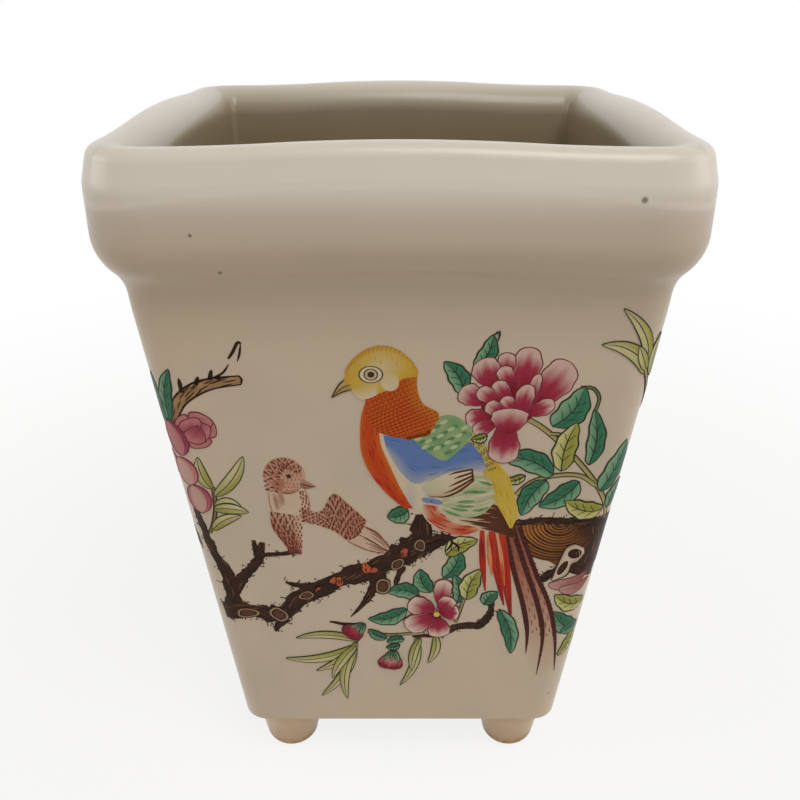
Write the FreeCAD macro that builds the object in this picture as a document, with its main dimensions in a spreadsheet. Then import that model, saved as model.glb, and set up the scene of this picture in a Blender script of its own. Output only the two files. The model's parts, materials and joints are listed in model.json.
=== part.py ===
import FreeCAD, Part
import math
import os
import Sketcher

# Square footed flower pot of glazed porcelain, put together from slabs: four leaning walls, a floor,
# four thick mitred rim strips and four nub feet. All sizes in millimetres.
# The pot stands on z = 0, centred on the vertical axis. The painted front faces -Y.

doc = FreeCAD.newDocument("flower_pot")

# Driving sizes
SIZES = [
    ("rim_width", 120.0, "outside width of the rim, flat to flat"),
    ("rim_height", 28.8, "from the neck up to the top of the rim, at the corners"),
    ("rim_overhang", 5.6, "how far the rim stands out from the neck"),
    ("rim_thickness", 11.9, "from the outside of the rim to the mouth"),
    ("rim_crown", 1.3, "rise of each rim strip from its corners to its middle"),
    ("crease_drop", 8.0, "from the top of the rim down to the soft crease on its outside"),
    ("crease_round", 8.0, "radius of the soft crease"),
    ("crease_lean", 14.0, "inward lean of the face above the crease, degrees"),
    ("lip_round", 3.0, "radius of the outer edge of the lip"),
    ("mouth_round", 7.0, "radius that rolls the lip down into the mouth"),
    ("belly_round", 10.5, "radius of the rounded underside of the rim"),
    ("neck_round", 7.5, "hollow radius between the rim and the wall"),
    ("collar_depth", 4.0, "from the neck down to the joint of rim and wall"),
    ("neck_height", 135.0, "from the table up to the neck, at the corners"),
    ("base_width", 82.0, "outside width at the foot of the walls"),
    ("wall_thickness", 5.0, "thickness of the wall slabs, level"),
    ("mouth_corner", 1.5, "inside corner radius at the mouth"),
    ("base_corner", 1.5, "inside corner radius at the floor"),
    ("floor_thickness", 7.0, "thickness of the floor slab"),
    ("floor_clip", 2.0, "how much of each corner of the floor slab is clipped off"),
    ("drain_width", 16.0, "drain hole in the floor"),
    ("foot_height", 15.5, "from the table up to the underside of the floor"),
    ("foot_inset", 11.2, "from the foot of a wall in to the middle of a foot"),
    ("foot_width", 19.0, "width of a foot at its top"),
    ("sole_width", 6.0, "width of the flat sole of a foot"),
    ("sole_round", 4.0, "radius round the sole"),
]

# Sizes that follow from the driving ones
DERIVED = [
    ("rim_half", "=rim_width / 2"),
    ("neck_half", "=rim_half - rim_overhang"),
    ("base_half", "=base_width / 2"),
    ("mouth_half", "=rim_half - rim_thickness"),
    ("rim_top", "=neck_height + rim_height"),
    ("crease_height", "=rim_top - crease_drop"),
    ("joint_height", "=neck_height - collar_depth"),
    ("collar_foot", "=joint_height - 2 * rim_crown"),
    ("wall_slope", "=(neck_half - base_half) / (neck_height - foot_height)"),
    ("joint_half", "=base_half + wall_slope * (joint_height - foot_height)"),
    ("collar_half", "=base_half + wall_slope * (collar_foot - foot_height)"),
    ("joint_inner", "=joint_half - wall_thickness"),
    ("collar_inner", "=collar_half - wall_thickness"),
    ("base_inner", "=base_half - wall_thickness"),
    ("corner_axis", "=mouth_half - mouth_corner"),
    ("base_axis", "=base_inner - base_corner"),
    ("floor_top", "=foot_height + floor_thickness"),
    ("floor_half", "=base_inner + wall_slope * floor_thickness"),
    ("foot_centre", "=base_half - foot_inset"),
    ("foot_radius", "=foot_width / 2"),
    ("sole_radius", "=sole_width / 2"),
    ("drain_radius", "=drain_width / 2"),
]

sheet = doc.addObject("Spreadsheet::Sheet", "Sizes")
for row, (alias, value, meaning) in enumerate(SIZES, start=1):
    sheet.set(f"A{row}", alias)
    sheet.set(f"B{row}", str(value))
    sheet.set(f"C{row}", meaning)
    sheet.setAlias(f"B{row}", alias)
for row, (alias, formula) in enumerate(DERIVED, start=len(SIZES) + 1):
    sheet.set(f"A{row}", alias)
    sheet.set(f"B{row}", formula)
    sheet.setAlias(f"B{row}", alias)
doc.recompute()


def size(alias):
    return float(sheet.get(alias))


V = FreeCAD.Vector
UP = V(0, 0, 1)
HALF_DIAGONAL = math.sqrt(0.5)
# How a sketch numbers the points of a line or arc, and its own two axes; the origin starts the level axis
START, END, CENTRE = range(1, 4)
ORIGIN = LEVEL_AXIS = -START
UPRIGHT_AXIS = -END


def origin_plane(body, role):
    return next(item for item in body.Origin.OriginFeatures if item.Role == role)


def new_sketch(body, name, role):
    sketch = body.newObject("Sketcher::SketchObject", name)
    sketch.AttachmentSupport = (origin_plane(body, role), [""])
    sketch.MapMode = "FlatFace"
    return sketch


def raise_sketch(sketch, alias):
    sketch.AttachmentOffset = FreeCAD.Placement(V(0, 0, size(alias)), FreeCAD.Rotation())
    sketch.setExpression("AttachmentOffset.Base.z", f"Sizes.{alias}")


def line(sketch, start, end):
    return sketch.addGeometry(Part.LineSegment(V(*start, 0), V(*end, 0)), False)


def arc(sketch, centre, radius, first, last):
    circle = Part.Circle(V(*centre, 0), UP, radius)
    return sketch.addGeometry(Part.ArcOfCircle(circle, math.radians(first), math.radians(last)), False)


def fix(sketch, kind, *where):
    return sketch.addConstraint(Sketcher.Constraint(kind, *where))


def measure(sketch, kind, where, value, expression):
    index = sketch.addConstraint(Sketcher.Constraint(kind, *where, value))
    sketch.setExpression(f"Constraints[{index}]", expression)


def place_x(sketch, geometry, point, expression, value):
    measure(sketch, "DistanceX", (ORIGIN, START, geometry, point), value, expression)


def place_y(sketch, geometry, point, expression, value):
    measure(sketch, "DistanceY", (ORIGIN, START, geometry, point), value, expression)


def mirror_half(body, originals):
    mirrored = body.newObject("PartDesign::Mirrored", "both_halves")
    mirrored.Originals = originals
    mirrored.MirrorPlane = (origin_plane(body, "YZ_Plane"), [""])
    body.Tip = mirrored
    return mirrored


def turn_to_side(body, degrees):
    body.Placement = FreeCAD.Placement(V(0, 0, 0), FreeCAD.Rotation(UP, degrees))


def half_wall_section(body, name, level, outer, inner, axis):
    # Right half of a level cut through the rear wall, from its middle to the mitre on the diagonal.
    sketch = new_sketch(body, name, "XY_Plane")
    raise_sketch(sketch, level)
    out, into, mid = size(outer), size(inner), size(axis)
    out_tip = mid + (out - mid) * HALF_DIAGONAL
    in_tip = mid + (into - mid) * HALF_DIAGONAL
    outside = line(sketch, (0, out), (mid, out))
    outer_arc = arc(sketch, (mid, mid), out - mid, 45, 90)
    mitre = line(sketch, (out_tip, out_tip), (in_tip, in_tip))
    inner_arc = arc(sketch, (mid, mid), into - mid, 45, 90)
    inside = line(sketch, (mid, into), (0, into))
    middle = line(sketch, (0, into), (0, out))
    fix(sketch, "Coincident", outside, END, outer_arc, END)
    fix(sketch, "Coincident", outer_arc, START, mitre, START)
    fix(sketch, "Coincident", mitre, END, inner_arc, START)
    fix(sketch, "Coincident", inner_arc, END, inside, START)
    fix(sketch, "Coincident", inside, END, middle, START)
    fix(sketch, "Coincident", middle, END, outside, START)
    fix(sketch, "Coincident", outer_arc, CENTRE, inner_arc, CENTRE)
    fix(sketch, "PointOnObject", outside, START, UPRIGHT_AXIS)
    fix(sketch, "PointOnObject", inside, END, UPRIGHT_AXIS)
    fix(sketch, "Horizontal", outside)
    fix(sketch, "Horizontal", inside)
    fix(sketch, "Vertical", outer_arc, CENTRE, outer_arc, END)
    fix(sketch, "Vertical", inner_arc, CENTRE, inner_arc, END)
    place_x(sketch, outer_arc, CENTRE, f"Sizes.{axis}", mid)
    place_y(sketch, outer_arc, CENTRE, f"Sizes.{axis}", mid)
    place_y(sketch, outer_arc, END, f"Sizes.{outer}", out)
    place_y(sketch, inner_arc, END, f"Sizes.{inner}", into)
    tip = "Sizes.{0} + (Sizes.{1} - Sizes.{0}) * sqrt(0.5)"
    place_x(sketch, outer_arc, START, tip.format(axis, outer), out_tip)
    place_x(sketch, inner_arc, START, tip.format(axis, inner), in_tip)
    return sketch


def make_wall(label, degrees):
    body = doc.addObject("PartDesign::Body", label)
    foot = half_wall_section(body, "foot_section", "foot_height", "base_half", "base_inner", "base_axis")
    head = half_wall_section(body, "head_section", "joint_height", "joint_half", "joint_inner", "corner_axis")
    slab = body.newObject("PartDesign::AdditiveLoft", "half_slab")
    slab.Profile = foot
    slab.Sections = [head]
    slab.Ruled = True
    doc.recompute()
    mirror_half(body, [slab])
    turn_to_side(body, degrees)
    return body


def rim_profile(body):
    # Cut through a rim strip at the start of its rounded corner, drawn from the upright corner axis.
    sketch = new_sketch(body, "strip_profile", "YZ_Plane")
    axis = size("corner_axis")
    sketch.AttachmentOffset = FreeCAD.Placement(V(axis, 0, axis), FreeCAD.Rotation())
    sketch.setExpression("AttachmentOffset.Base.x", "Sizes.corner_axis")
    sketch.setExpression("AttachmentOffset.Base.z", "Sizes.corner_axis")

    wall_angle = math.atan(size("wall_slope"))
    lean = math.radians(size("crease_lean"))
    neck, belly, crease = (size(n) for n in ("neck_round", "belly_round", "crease_round"))
    lip, roll = size("lip_round"), size("mouth_round")
    outside = size("rim_half") - axis
    mouth = size("mouth_half") - axis
    low_out = (size("collar_half") - axis, size("collar_foot"))
    low_in = (size("collar_inner") - axis, size("collar_foot"))
    top, crease_height = size("rim_top"), size("crease_height")

    neck_end = (size("neck_half") - axis, size("neck_height"))
    neck_mid = (neck_end[0] + neck * math.cos(wall_angle), neck_end[1] - neck * math.sin(wall_angle))
    belly_x = outside - belly
    belly_mid = (belly_x, neck_mid[1] + math.sqrt((neck + belly) ** 2 - (neck_mid[0] - belly_x) ** 2))
    meet_angle = math.degrees(math.atan2(neck_mid[1] - belly_mid[1], neck_mid[0] - belly_mid[0]))
    meet = (belly_mid[0] + belly * math.cos(math.radians(meet_angle)),
            belly_mid[1] + belly * math.sin(math.radians(meet_angle)))
    crease_mid = (outside - crease, crease_height)
    crease_end = (crease_mid[0] + crease * math.cos(lean), crease_mid[1] + crease * math.sin(lean))
    lip_mid_z = top - lip
    face_x = crease_end[0] - (lip_mid_z + lip * math.sin(lean) - crease_end[1]) * math.tan(lean)
    lip_mid = (face_x - lip * math.cos(lean), lip_mid_z)
    face_end = (face_x, lip_mid_z + lip * math.sin(lean))
    inner_lip_mid = (mouth + roll, top - roll)

    collar = line(sketch, low_out, neck_end)
    hollow = arc(sketch, neck_mid, neck, meet_angle + 180, 180 - math.degrees(wall_angle))
    round_belly = arc(sketch, belly_mid, belly, meet_angle, 0)
    band = line(sketch, (outside, belly_mid[1]), (outside, crease_height))
    soft_crease = arc(sketch, crease_mid, crease, 0, math.degrees(lean))
    upper_face = line(sketch, crease_end, face_end)
    outer_lip = arc(sketch, lip_mid, lip, math.degrees(lean), 90)
    lip_top = line(sketch, (lip_mid[0], top), (inner_lip_mid[0], top))
    inner_lip = arc(sketch, inner_lip_mid, roll, 90, 180)
    inner_face = line(sketch, (mouth, inner_lip_mid[1]), low_in)
    collar_end = line(sketch, low_in, low_out)

    fix(sketch, "Tangent", collar, END, hollow, END)
    fix(sketch, "Tangent", hollow, START, round_belly, START)
    fix(sketch, "Tangent", round_belly, END, band, START)
    fix(sketch, "Tangent", band, END, soft_crease, START)
    fix(sketch, "Tangent", soft_crease, END, upper_face, START)
    fix(sketch, "Tangent", upper_face, END, outer_lip, START)
    fix(sketch, "Tangent", outer_lip, END, lip_top, START)
    fix(sketch, "Tangent", lip_top, END, inner_lip, START)
    fix(sketch, "Tangent", inner_lip, END, inner_face, START)
    fix(sketch, "Coincident", inner_face, END, collar_end, START)
    fix(sketch, "Coincident", collar_end, END, collar, START)
    fix(sketch, "Horizontal", collar_end)
    fix(sketch, "Horizontal", lip_top)
    fix(sketch, "Vertical", band)
    for curve, alias in ((hollow, "neck_round"), (round_belly, "belly_round"), (soft_crease, "crease_round"),
                         (outer_lip, "lip_round"), (inner_lip, "mouth_round")):
        measure(sketch, "Radius", (curve,), size(alias), f"Sizes.{alias}")
    place_x(sketch, band, END, "Sizes.rim_half - Sizes.corner_axis", outside)
    place_y(sketch, band, END, "Sizes.crease_height", crease_height)
    measure(sketch, "Angle", (soft_crease,), lean, "Sizes.crease_lean * 1 deg")
    place_y(sketch, lip_top, START, "Sizes.rim_top", top)
    place_x(sketch, inner_lip, END, "Sizes.mouth_half - Sizes.corner_axis", mouth)
    place_x(sketch, inner_face, END, "Sizes.collar_inner - Sizes.corner_axis", low_in[0])
    place_y(sketch, inner_face, END, "Sizes.collar_foot", low_in[1])
    place_x(sketch, collar, START, "Sizes.collar_half - Sizes.corner_axis", low_out[0])
    place_x(sketch, collar, END, "Sizes.neck_half - Sizes.corner_axis", neck_end[0])
    place_y(sketch, collar, END, "Sizes.neck_height", neck_end[1])
    return sketch


def crown_path(body):
    # Two equal arcs that swell from the corner to the middle, level at both ends, in the plane of the wall.
    sketch = new_sketch(body, "crown_path", "XZ_Plane")
    lean = math.degrees(math.atan(size("wall_slope")))
    sketch.AttachmentOffset = FreeCAD.Placement(V(0, 0, -size("corner_axis")), FreeCAD.Rotation(V(1, 0, 0), -lean))
    sketch.setExpression("AttachmentOffset.Base.z", "-Sizes.corner_axis")
    sketch.setExpression("AttachmentOffset.Rotation.Angle", "-atan(Sizes.wall_slope)")
    reach, rise = size("corner_axis"), size("rim_crown")
    radius = (reach ** 2 + rise ** 2) / (4 * rise)
    spread = math.degrees(math.asin(reach / 2 / radius))
    rising = arc(sketch, (reach, radius), radius, 270 - spread, 270)
    cresting = arc(sketch, (0, rise - radius), radius, 90 - spread, 90)
    fix(sketch, "Tangent", rising, START, cresting, START)
    fix(sketch, "Equal", rising, cresting)
    fix(sketch, "Vertical", rising, CENTRE, rising, END)
    fix(sketch, "PointOnObject", cresting, CENTRE, UPRIGHT_AXIS)
    fix(sketch, "PointOnObject", cresting, END, UPRIGHT_AXIS)
    fix(sketch, "PointOnObject", rising, END, LEVEL_AXIS)
    place_x(sketch, rising, END, "Sizes.corner_axis", reach)
    place_y(sketch, cresting, END, "Sizes.rim_crown", rise)
    return sketch


def make_rim(label, degrees):
    body = doc.addObject("PartDesign::Body", label)
    profile = rim_profile(body)
    path = crown_path(body)
    doc.recompute()
    strip = body.newObject("PartDesign::AdditivePipe", "crowned_strip")
    strip.Profile = profile
    strip.Spine = (path, ["Edge1", "Edge2"])
    strip.Mode = "Fixed"
    doc.recompute()
    corner = body.newObject("PartDesign::Revolution", "rounded_corner")
    corner.Profile = profile
    corner.ReferenceAxis = (profile, ["V_Axis"])
    corner.Angle = 45
    corner.Reversed = True
    doc.recompute()
    mirror_half(body, [strip, corner])
    doc.recompute()
    level = new_sketch(body, "joint_level", "XY_Plane")
    raise_sketch(level, "joint_height")
    reach = size("rim_width")
    edges = [line(level, a, b) for a, b in (((-reach, 0), (reach, 0)), ((reach, 0), (reach, reach)),
                                            ((reach, reach), (-reach, reach)), ((-reach, reach), (-reach, 0)))]
    for edge, after in zip(edges, edges[1:] + edges[:1]):
        fix(level, "Coincident", edge, END, after, START)
    for edge, kind in zip(edges, ("Horizontal", "Vertical", "Horizontal", "Vertical")):
        fix(level, kind, edge)
    fix(level, "PointOnObject", edges[0], START, LEVEL_AXIS)
    place_x(level, edges[0], END, "Sizes.rim_width", reach)
    place_y(level, edges[1], END, "Sizes.rim_width", reach)
    measure(level, "DistanceX", (edges[0], START, ORIGIN, START), reach, "Sizes.rim_width")
    trim = body.newObject("PartDesign::Pocket", "flat_joint")
    trim.Profile = level
    trim.Type = "ThroughAll"
    body.Tip = trim
    turn_to_side(body, degrees)
    return body


def floor_section(body, name, level, half):
    # Square with clipped corners, so that the slab clears the eased inside corners of the walls.
    sketch = new_sketch(body, name, "XY_Plane")
    raise_sketch(sketch, level)
    reach = size(half)
    short = reach - size("floor_clip")
    points = [(short, reach), (-short, reach), (-reach, short), (-reach, -short),
              (-short, -reach), (short, -reach), (reach, -short), (reach, short)]
    edges = [line(sketch, a, b) for a, b in zip(points, points[1:] + points[:1])]
    for edge, after in zip(edges, edges[1:] + edges[:1]):
        fix(sketch, "Coincident", edge, END, after, START)
    for right, left in ((0, 1), (7, 2), (6, 3), (5, 4)):
        fix(sketch, "Symmetric", edges[right], START, edges[left], START, UPRIGHT_AXIS)
    for rear, front in ((0, 5), (7, 6)):
        fix(sketch, "Symmetric", edges[rear], START, edges[front], START, LEVEL_AXIS)
    place_x(sketch, edges[0], START, f"Sizes.{half} - Sizes.floor_clip", short)
    place_y(sketch, edges[0], START, f"Sizes.{half}", reach)
    place_x(sketch, edges[7], START, f"Sizes.{half}", reach)
    place_y(sketch, edges[7], START, f"Sizes.{half} - Sizes.floor_clip", short)
    return sketch


def make_floor():
    body = doc.addObject("PartDesign::Body", "floor_slab")
    slab = body.newObject("PartDesign::AdditiveLoft", "leaning_slab")
    slab.Profile = floor_section(body, "underside", "foot_height", "base_inner")
    slab.Sections = [floor_section(body, "upper_side", "floor_top", "floor_half")]
    slab.Ruled = True
    doc.recompute()
    ring = new_sketch(body, "drain_outline", "XY_Plane")
    hole = ring.addGeometry(Part.Circle(V(0, 0, 0), UP, size("drain_radius")), False)
    fix(ring, "Coincident", hole, CENTRE, ORIGIN, START)
    measure(ring, "Radius", (hole,), size("drain_radius"), "Sizes.drain_radius")
    drain = body.newObject("PartDesign::Pocket", "drain_hole")
    drain.Profile = ring
    drain.Type = "ThroughAll"
    drain.Reversed = True
    return body


def make_foot(label, side, depth):
    body = doc.addObject("PartDesign::Body", label)
    sketch = new_sketch(body, "foot_outline", "XZ_Plane")
    sole, top, height, ease = (size(n) for n in ("sole_radius", "foot_radius", "foot_height", "sole_round"))
    reach = math.hypot(top - sole, height - ease)
    steep = math.atan2(height - ease, top - sole) - math.asin(ease / reach)
    touch = (sole + ease * math.sin(steep), ease - ease * math.cos(steep))
    under = line(sketch, (0, 0), (sole, 0))
    edge = arc(sketch, (sole, ease), ease, 270, 270 + math.degrees(steep))
    flank = line(sketch, touch, (top, height))
    head = line(sketch, (top, height), (0, height))
    core = line(sketch, (0, height), (0, 0))
    fix(sketch, "Tangent", under, END, edge, START)
    fix(sketch, "Tangent", edge, END, flank, START)
    fix(sketch, "Coincident", flank, END, head, START)
    fix(sketch, "Coincident", head, END, core, START)
    fix(sketch, "Coincident", core, END, under, START)
    fix(sketch, "Coincident", under, START, ORIGIN, START)
    fix(sketch, "Horizontal", under)
    fix(sketch, "Horizontal", head)
    fix(sketch, "Vertical", core)
    measure(sketch, "Radius", (edge,), ease, "Sizes.sole_round")
    place_x(sketch, under, END, "Sizes.sole_radius", sole)
    place_x(sketch, flank, END, "Sizes.foot_radius", top)
    place_y(sketch, flank, END, "Sizes.foot_height", height)
    nub = body.newObject("PartDesign::Revolution", "nub")
    nub.Profile = sketch
    nub.ReferenceAxis = (sketch, ["V_Axis"])
    nub.Angle = 360
    body.Placement = FreeCAD.Placement(V(side * size("foot_centre"), depth * size("foot_centre"), 0),
                                       FreeCAD.Rotation())
    body.setExpression("Placement.Base.x", f"{side} * Sizes.foot_centre")
    body.setExpression("Placement.Base.y", f"{depth} * Sizes.foot_centre")
    return body


# The four sides, each a quarter turn from the last, seen from above
SIDES = [("rear", 0), ("left", 90), ("front", 180), ("right", 270)]
CORNERS = [("front_left", -1, -1), ("front_right", 1, -1), ("rear_right", 1, 1), ("rear_left", -1, 1)]

pieces = []
for side_name, turn in SIDES:
    pieces.append(make_wall(f"{side_name}_wall", turn))
    pieces.append(make_rim(f"{side_name}_rim", turn))
pieces.append(make_floor())
for corner_name, to_right, to_rear in CORNERS:
    pieces.append(make_foot(f"{corner_name}_foot", to_right, to_rear))
doc.recompute()

for item in doc.Objects:
    if "Invalid" in item.State or "Error" in item.State:
        raise RuntimeError(f"{item.Label} did not build: {item.State}")

os.makedirs("parts", exist_ok=True)
for piece in pieces:
    shape = piece.Shape
    if shape.isNull() or not shape.isValid() or len(shape.Solids) != 1:
        raise RuntimeError(f"{piece.Label} is not one sound solid")
    shape.exportStep(f"parts/{piece.Label}.step")
    print(piece.Label, round(shape.Volume), shape.optimalBoundingBox(False))
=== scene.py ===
# %% [markdown]
# # A painted porcelain flower pot
# The solids of the pot come ready made: four leaning walls, a thick rim, a floor and four feet. This
# lesson gives them their glaze, and paints the pheasant, the hen and the flowers on the walls.
# The solids stay where they are, and each new piece is placed by measuring them.

# %% Load the solids
import json
import math
import random

import bpy
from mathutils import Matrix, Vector

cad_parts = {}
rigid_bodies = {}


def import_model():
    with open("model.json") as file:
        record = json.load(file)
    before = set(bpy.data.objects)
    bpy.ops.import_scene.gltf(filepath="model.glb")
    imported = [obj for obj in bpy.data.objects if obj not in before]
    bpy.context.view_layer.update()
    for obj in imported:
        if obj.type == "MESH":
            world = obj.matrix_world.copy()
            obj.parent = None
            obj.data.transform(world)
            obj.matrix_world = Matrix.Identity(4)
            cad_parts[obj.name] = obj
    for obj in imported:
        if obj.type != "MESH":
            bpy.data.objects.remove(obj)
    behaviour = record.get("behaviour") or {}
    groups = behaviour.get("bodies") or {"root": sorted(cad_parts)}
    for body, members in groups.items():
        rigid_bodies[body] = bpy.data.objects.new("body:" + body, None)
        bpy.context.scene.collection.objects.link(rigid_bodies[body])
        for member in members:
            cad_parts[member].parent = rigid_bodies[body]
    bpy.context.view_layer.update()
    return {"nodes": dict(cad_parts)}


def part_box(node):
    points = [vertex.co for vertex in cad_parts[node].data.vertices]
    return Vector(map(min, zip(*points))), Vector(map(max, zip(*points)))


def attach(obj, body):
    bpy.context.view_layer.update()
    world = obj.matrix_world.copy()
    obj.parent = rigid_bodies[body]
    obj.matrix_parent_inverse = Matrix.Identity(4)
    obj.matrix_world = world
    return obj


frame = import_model()
nodes = frame["nodes"]

# %% [markdown]
# ## The wall as a sheet to paint on
# A painter thinks of a wall as a flat sheet, with so many millimetres across and up. The walls lean
# outwards and turn a rounded corner, so a point of the sheet has to be bent on to them.
# A Shrinkwrap modifier could do that, but it would slide the paint sideways at the corners, and so the
# bend is worked out: two heights of the front wall are measured, and all that lies between is straight.

# %% Measure the wall, and bend a sheet round it
wall_low, wall_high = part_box("front_wall")


def wall_ring(level):
    """Half the pot's width and half the flat of its front, in mm, at one height of the wall."""
    ring = [v.co for v in nodes["front_wall"].data.vertices if abs(v.co.z - level) < 1e-5]
    half = -min(point.y for point in ring)
    flat = max(point.x for point in ring if point.y < 1e-5 - half)
    return half * 1000, flat * 1000


FOOT_LEVEL = wall_low[2] * 1000
HEAD_LEVEL = wall_high[2] * 1000
foot_half, foot_flat = wall_ring(wall_low[2])
head_half, head_flat = wall_ring(wall_high[2])
LEAN = math.atan2(head_half - foot_half, HEAD_LEVEL - FOOT_LEVEL)


def wall_point(side, x, z, lift):
    """The point x across and z up, lift off the glaze of a side: 0 front, 1 right, 2 rear, 3 left. In mm."""
    rise = (z - FOOT_LEVEL) / (HEAD_LEVEL - FOOT_LEVEL)
    half = foot_half + (head_half - foot_half) * rise
    flat = foot_flat + (head_flat - foot_flat) * rise
    bend = half - flat
    turn = max(0, abs(x) - flat) / bend
    beyond = max(0, turn - math.pi / 2) * bend
    turn = min(turn, math.pi / 2)
    hand = math.copysign(1, x)
    out = Vector((hand * math.sin(turn) * math.cos(LEAN), -math.cos(turn) * math.cos(LEAN),
        -math.sin(LEAN)))
    across = min(abs(x), flat) + bend * math.sin(turn)
    away = flat + bend * math.cos(turn) - beyond
    place = Vector((hand * across, -away, z)) + out * lift
    c, s = ((1, 0), (0, 1), (-1, 0), (0, -1))[side]
    return Vector((place.x * c - place.y * s, place.x * s + place.y * c, place.z)) * 0.001


print("wall: half width %.1f to %.1f mm, lean %.1f degrees" % (foot_half, head_half, math.degrees(LEAN)))

# %% [markdown]
# ## Writing shaders as sums
# A material is a chain of nodes, and most of them are plain arithmetic. The small class below wraps a
# socket, so that `1 - mask * 0.5` in Python adds the Math nodes by itself. Any other node, such as a
# noise or a colour ramp, comes from one method that takes its settings and its inputs.

# %% A socket that can be reckoned with
class Wire:
    """One output socket of a material's node tree."""

    def __init__(self, tree, socket):
        self.tree = tree
        self.socket = socket

    def node(self, kind, settings=None, output=0, **inputs):
        """Adds a node with its settings and inputs, and gives one of its outputs."""
        made = self.tree.nodes.new(kind)
        for name, value in (settings or {}).items():
            if name == "stops":
                ramp = made.color_ramp
                while len(ramp.elements) < len(value):
                    ramp.elements.new(0.5)
                for element, (place, colour) in zip(ramp.elements, value):
                    element.position = place
                    element.color = (*colour, 1)
            else:
                setattr(made, name, value)
        for name, value in inputs.items():
            key = int(name[1:]) if name[1:].isdigit() else name.replace("_", " ")
            if isinstance(value, Wire):
                self.tree.links.new(value.socket, made.inputs[key])
            else:
                made.inputs[key].default_value = value
        return Wire(self.tree, made.outputs[output])

    def sum(self, operation, a, b):
        return self.node("ShaderNodeMath", {"operation": operation}, i0=a, i1=b)

    def __add__(self, other):
        return self.sum("ADD", self, other)

    def __radd__(self, other):
        return self.sum("ADD", other, self)

    def __sub__(self, other):
        return self.sum("SUBTRACT", self, other)

    def __rsub__(self, other):
        return self.sum("SUBTRACT", other, self)

    def __mul__(self, other):
        return self.sum("MULTIPLY", self, other)

    def __rmul__(self, other):
        return self.sum("MULTIPLY", other, self)

    def span(self, low, high):
        """0 below low, 1 above high and a smooth step between."""
        return self.node("ShaderNodeMapRange", {"interpolation_type": "SMOOTHSTEP"}, Value=self,
            From_Min=low, From_Max=high)

    def noise(self, scale, detail):
        return self.node("ShaderNodeTexNoise", Vector=self, Scale=scale, Detail=detail)

    def blend(self, first, second):
        """A mix of two colours, with this value as the share of the second."""
        return self.node("ShaderNodeMix", {"data_type": "RGBA"}, output=2, i0=self, i6=first, i7=second)


def ink(text):
    """A colour written as on a paint tin, RRGGBB, as the linear numbers that Blender reckons in."""
    parts = [int(text[i:i + 2], 16) / 255 for i in (0, 2, 4)]
    return tuple(p / 12.92 if p < 0.04045 else ((p + 0.055) / 1.055) ** 2.4 for p in parts)


def new_finish(name):
    """An empty material, its shader, and its object coordinates as a wire."""
    finish = bpy.data.materials.new(name)
    finish.use_nodes = True
    tree = finish.node_tree
    shader = tree.nodes["Principled BSDF"]
    place = Wire(tree, tree.nodes.new("ShaderNodeTexCoord").outputs["Object"])
    return finish, shader, place


def feed(shader, name, wire):
    """Links a wire into one of the shader's sockets."""
    wire.tree.links.new(wire.socket, shader.inputs[name])


print("shader helpers ready")

# %% [markdown]
# ## The glaze
# The pot's glaze is a warm ivory. It is a little greyer where it ran thick, and clouded by the clay under
# it. Small iron specks burnt through it in the kiln. Its surface is not quite flat, as hand-cut slabs
# never are, so the light on it wavers. Paint on a flat colour would lose all that, and so soft noises on
# object coordinates mix the colours and feed a faint bump. Masks of height also paint light and shade
# into the colour: a painted highlight on the rim's upper face and along its crease, and painted shade on
# the rim below the crease, under the rim and inside the mouth.

# %% Mix the glaze
IVORY = ink("cdbca6")
IVORY_WARM = ink("cebaa1")
IVORY_GREY = ink("c1b39f")
# Painted shade: a darker, greyer ivory for the rim below its crease, standing for the shade there.
IVORY_RIM_SHADE = ink("c6b8a9")
# Painted highlight: a paler ivory for the rim's upper face and for the line along its crease.
IVORY_PAINTED_HIGHLIGHT = ink("e6dfd4")
# Painted shade: a darker ivory for the pot just under the rim.
IVORY_UNDER_RIM_SHADE = ink("b0a088")
# Painted shade: a dark ivory for the inside of the pot, standing for the shade in its mouth.
PAINTED_INSIDE_SHADE = ink("8f8264")
IRON = ink("5a4632")

# Specks on the rim's front: across, height and radius. These and the masks' spans are in metres.
RIM_SPECKS = ((0.0434, 0.1554, 0.0008), (-0.0334, 0.1415, 0.0006), (-0.0379, 0.1490, 0.0005))
INSIDE_HALF = 0.0385
INSIDE_LEAN = 0.1138
INSIDE_EDGE = (-0.0016, 0.0004)
INSIDE_CLEARS = (0.1585, 0.1660)
NECK_DARKENS = (0.120, 0.138)
NECK_CLEARS = (0.143, 0.153)
BAND_SHADE_BEGINS = (0.143, 0.150)
CREST_HIGHLIGHT_BEGINS = (0.1505, 0.158)
RIDGE_HEIGHT = 0.1578
RIDGE_DROP = 1.43
RIDGE_BELOW = (-0.0012, 0)
RIDGE_ABOVE = (0, 0.0016)

glaze, shader, place = new_finish("ivory_glaze")
cloud = place.noise(14, 3).span(0.35, 0.65)
pool = place.noise(45, 2).span(0.45, 0.75)
specks = place.node("ShaderNodeTexVoronoi", {"feature": "F1"}, Vector=place, Scale=70.0)
chosen = place.noise(31, 0).span(0.68, 0.70)
speck = (1 - specks.span(0.03, 0.06)) * chosen
for across, height, radius in RIM_SPECKS:
    spot = nodes["front_rim"].ray_cast((across, -1, height), (0, 1, 0))[1]
    away = place.node("ShaderNodeVectorMath", {"operation": "DISTANCE"}, output=1, i0=place, i1=spot)
    speck = speck.sum("MAXIMUM", speck, 1.4 - away.span(radius * 0.4, radius) * 1.4)
x, y, up = [place.node("ShaderNodeSeparateXYZ", output=axis, Vector=place) for axis in range(3)]
x_off = x.node("ShaderNodeMath", {"operation": "ABSOLUTE"}, i0=x)
y_off = y.node("ShaderNodeMath", {"operation": "ABSOLUTE"}, i0=y)
out = x.sum("MAXIMUM", x_off, y_off)
along_strip = x.sum("MINIMUM", x_off, y_off)
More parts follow.
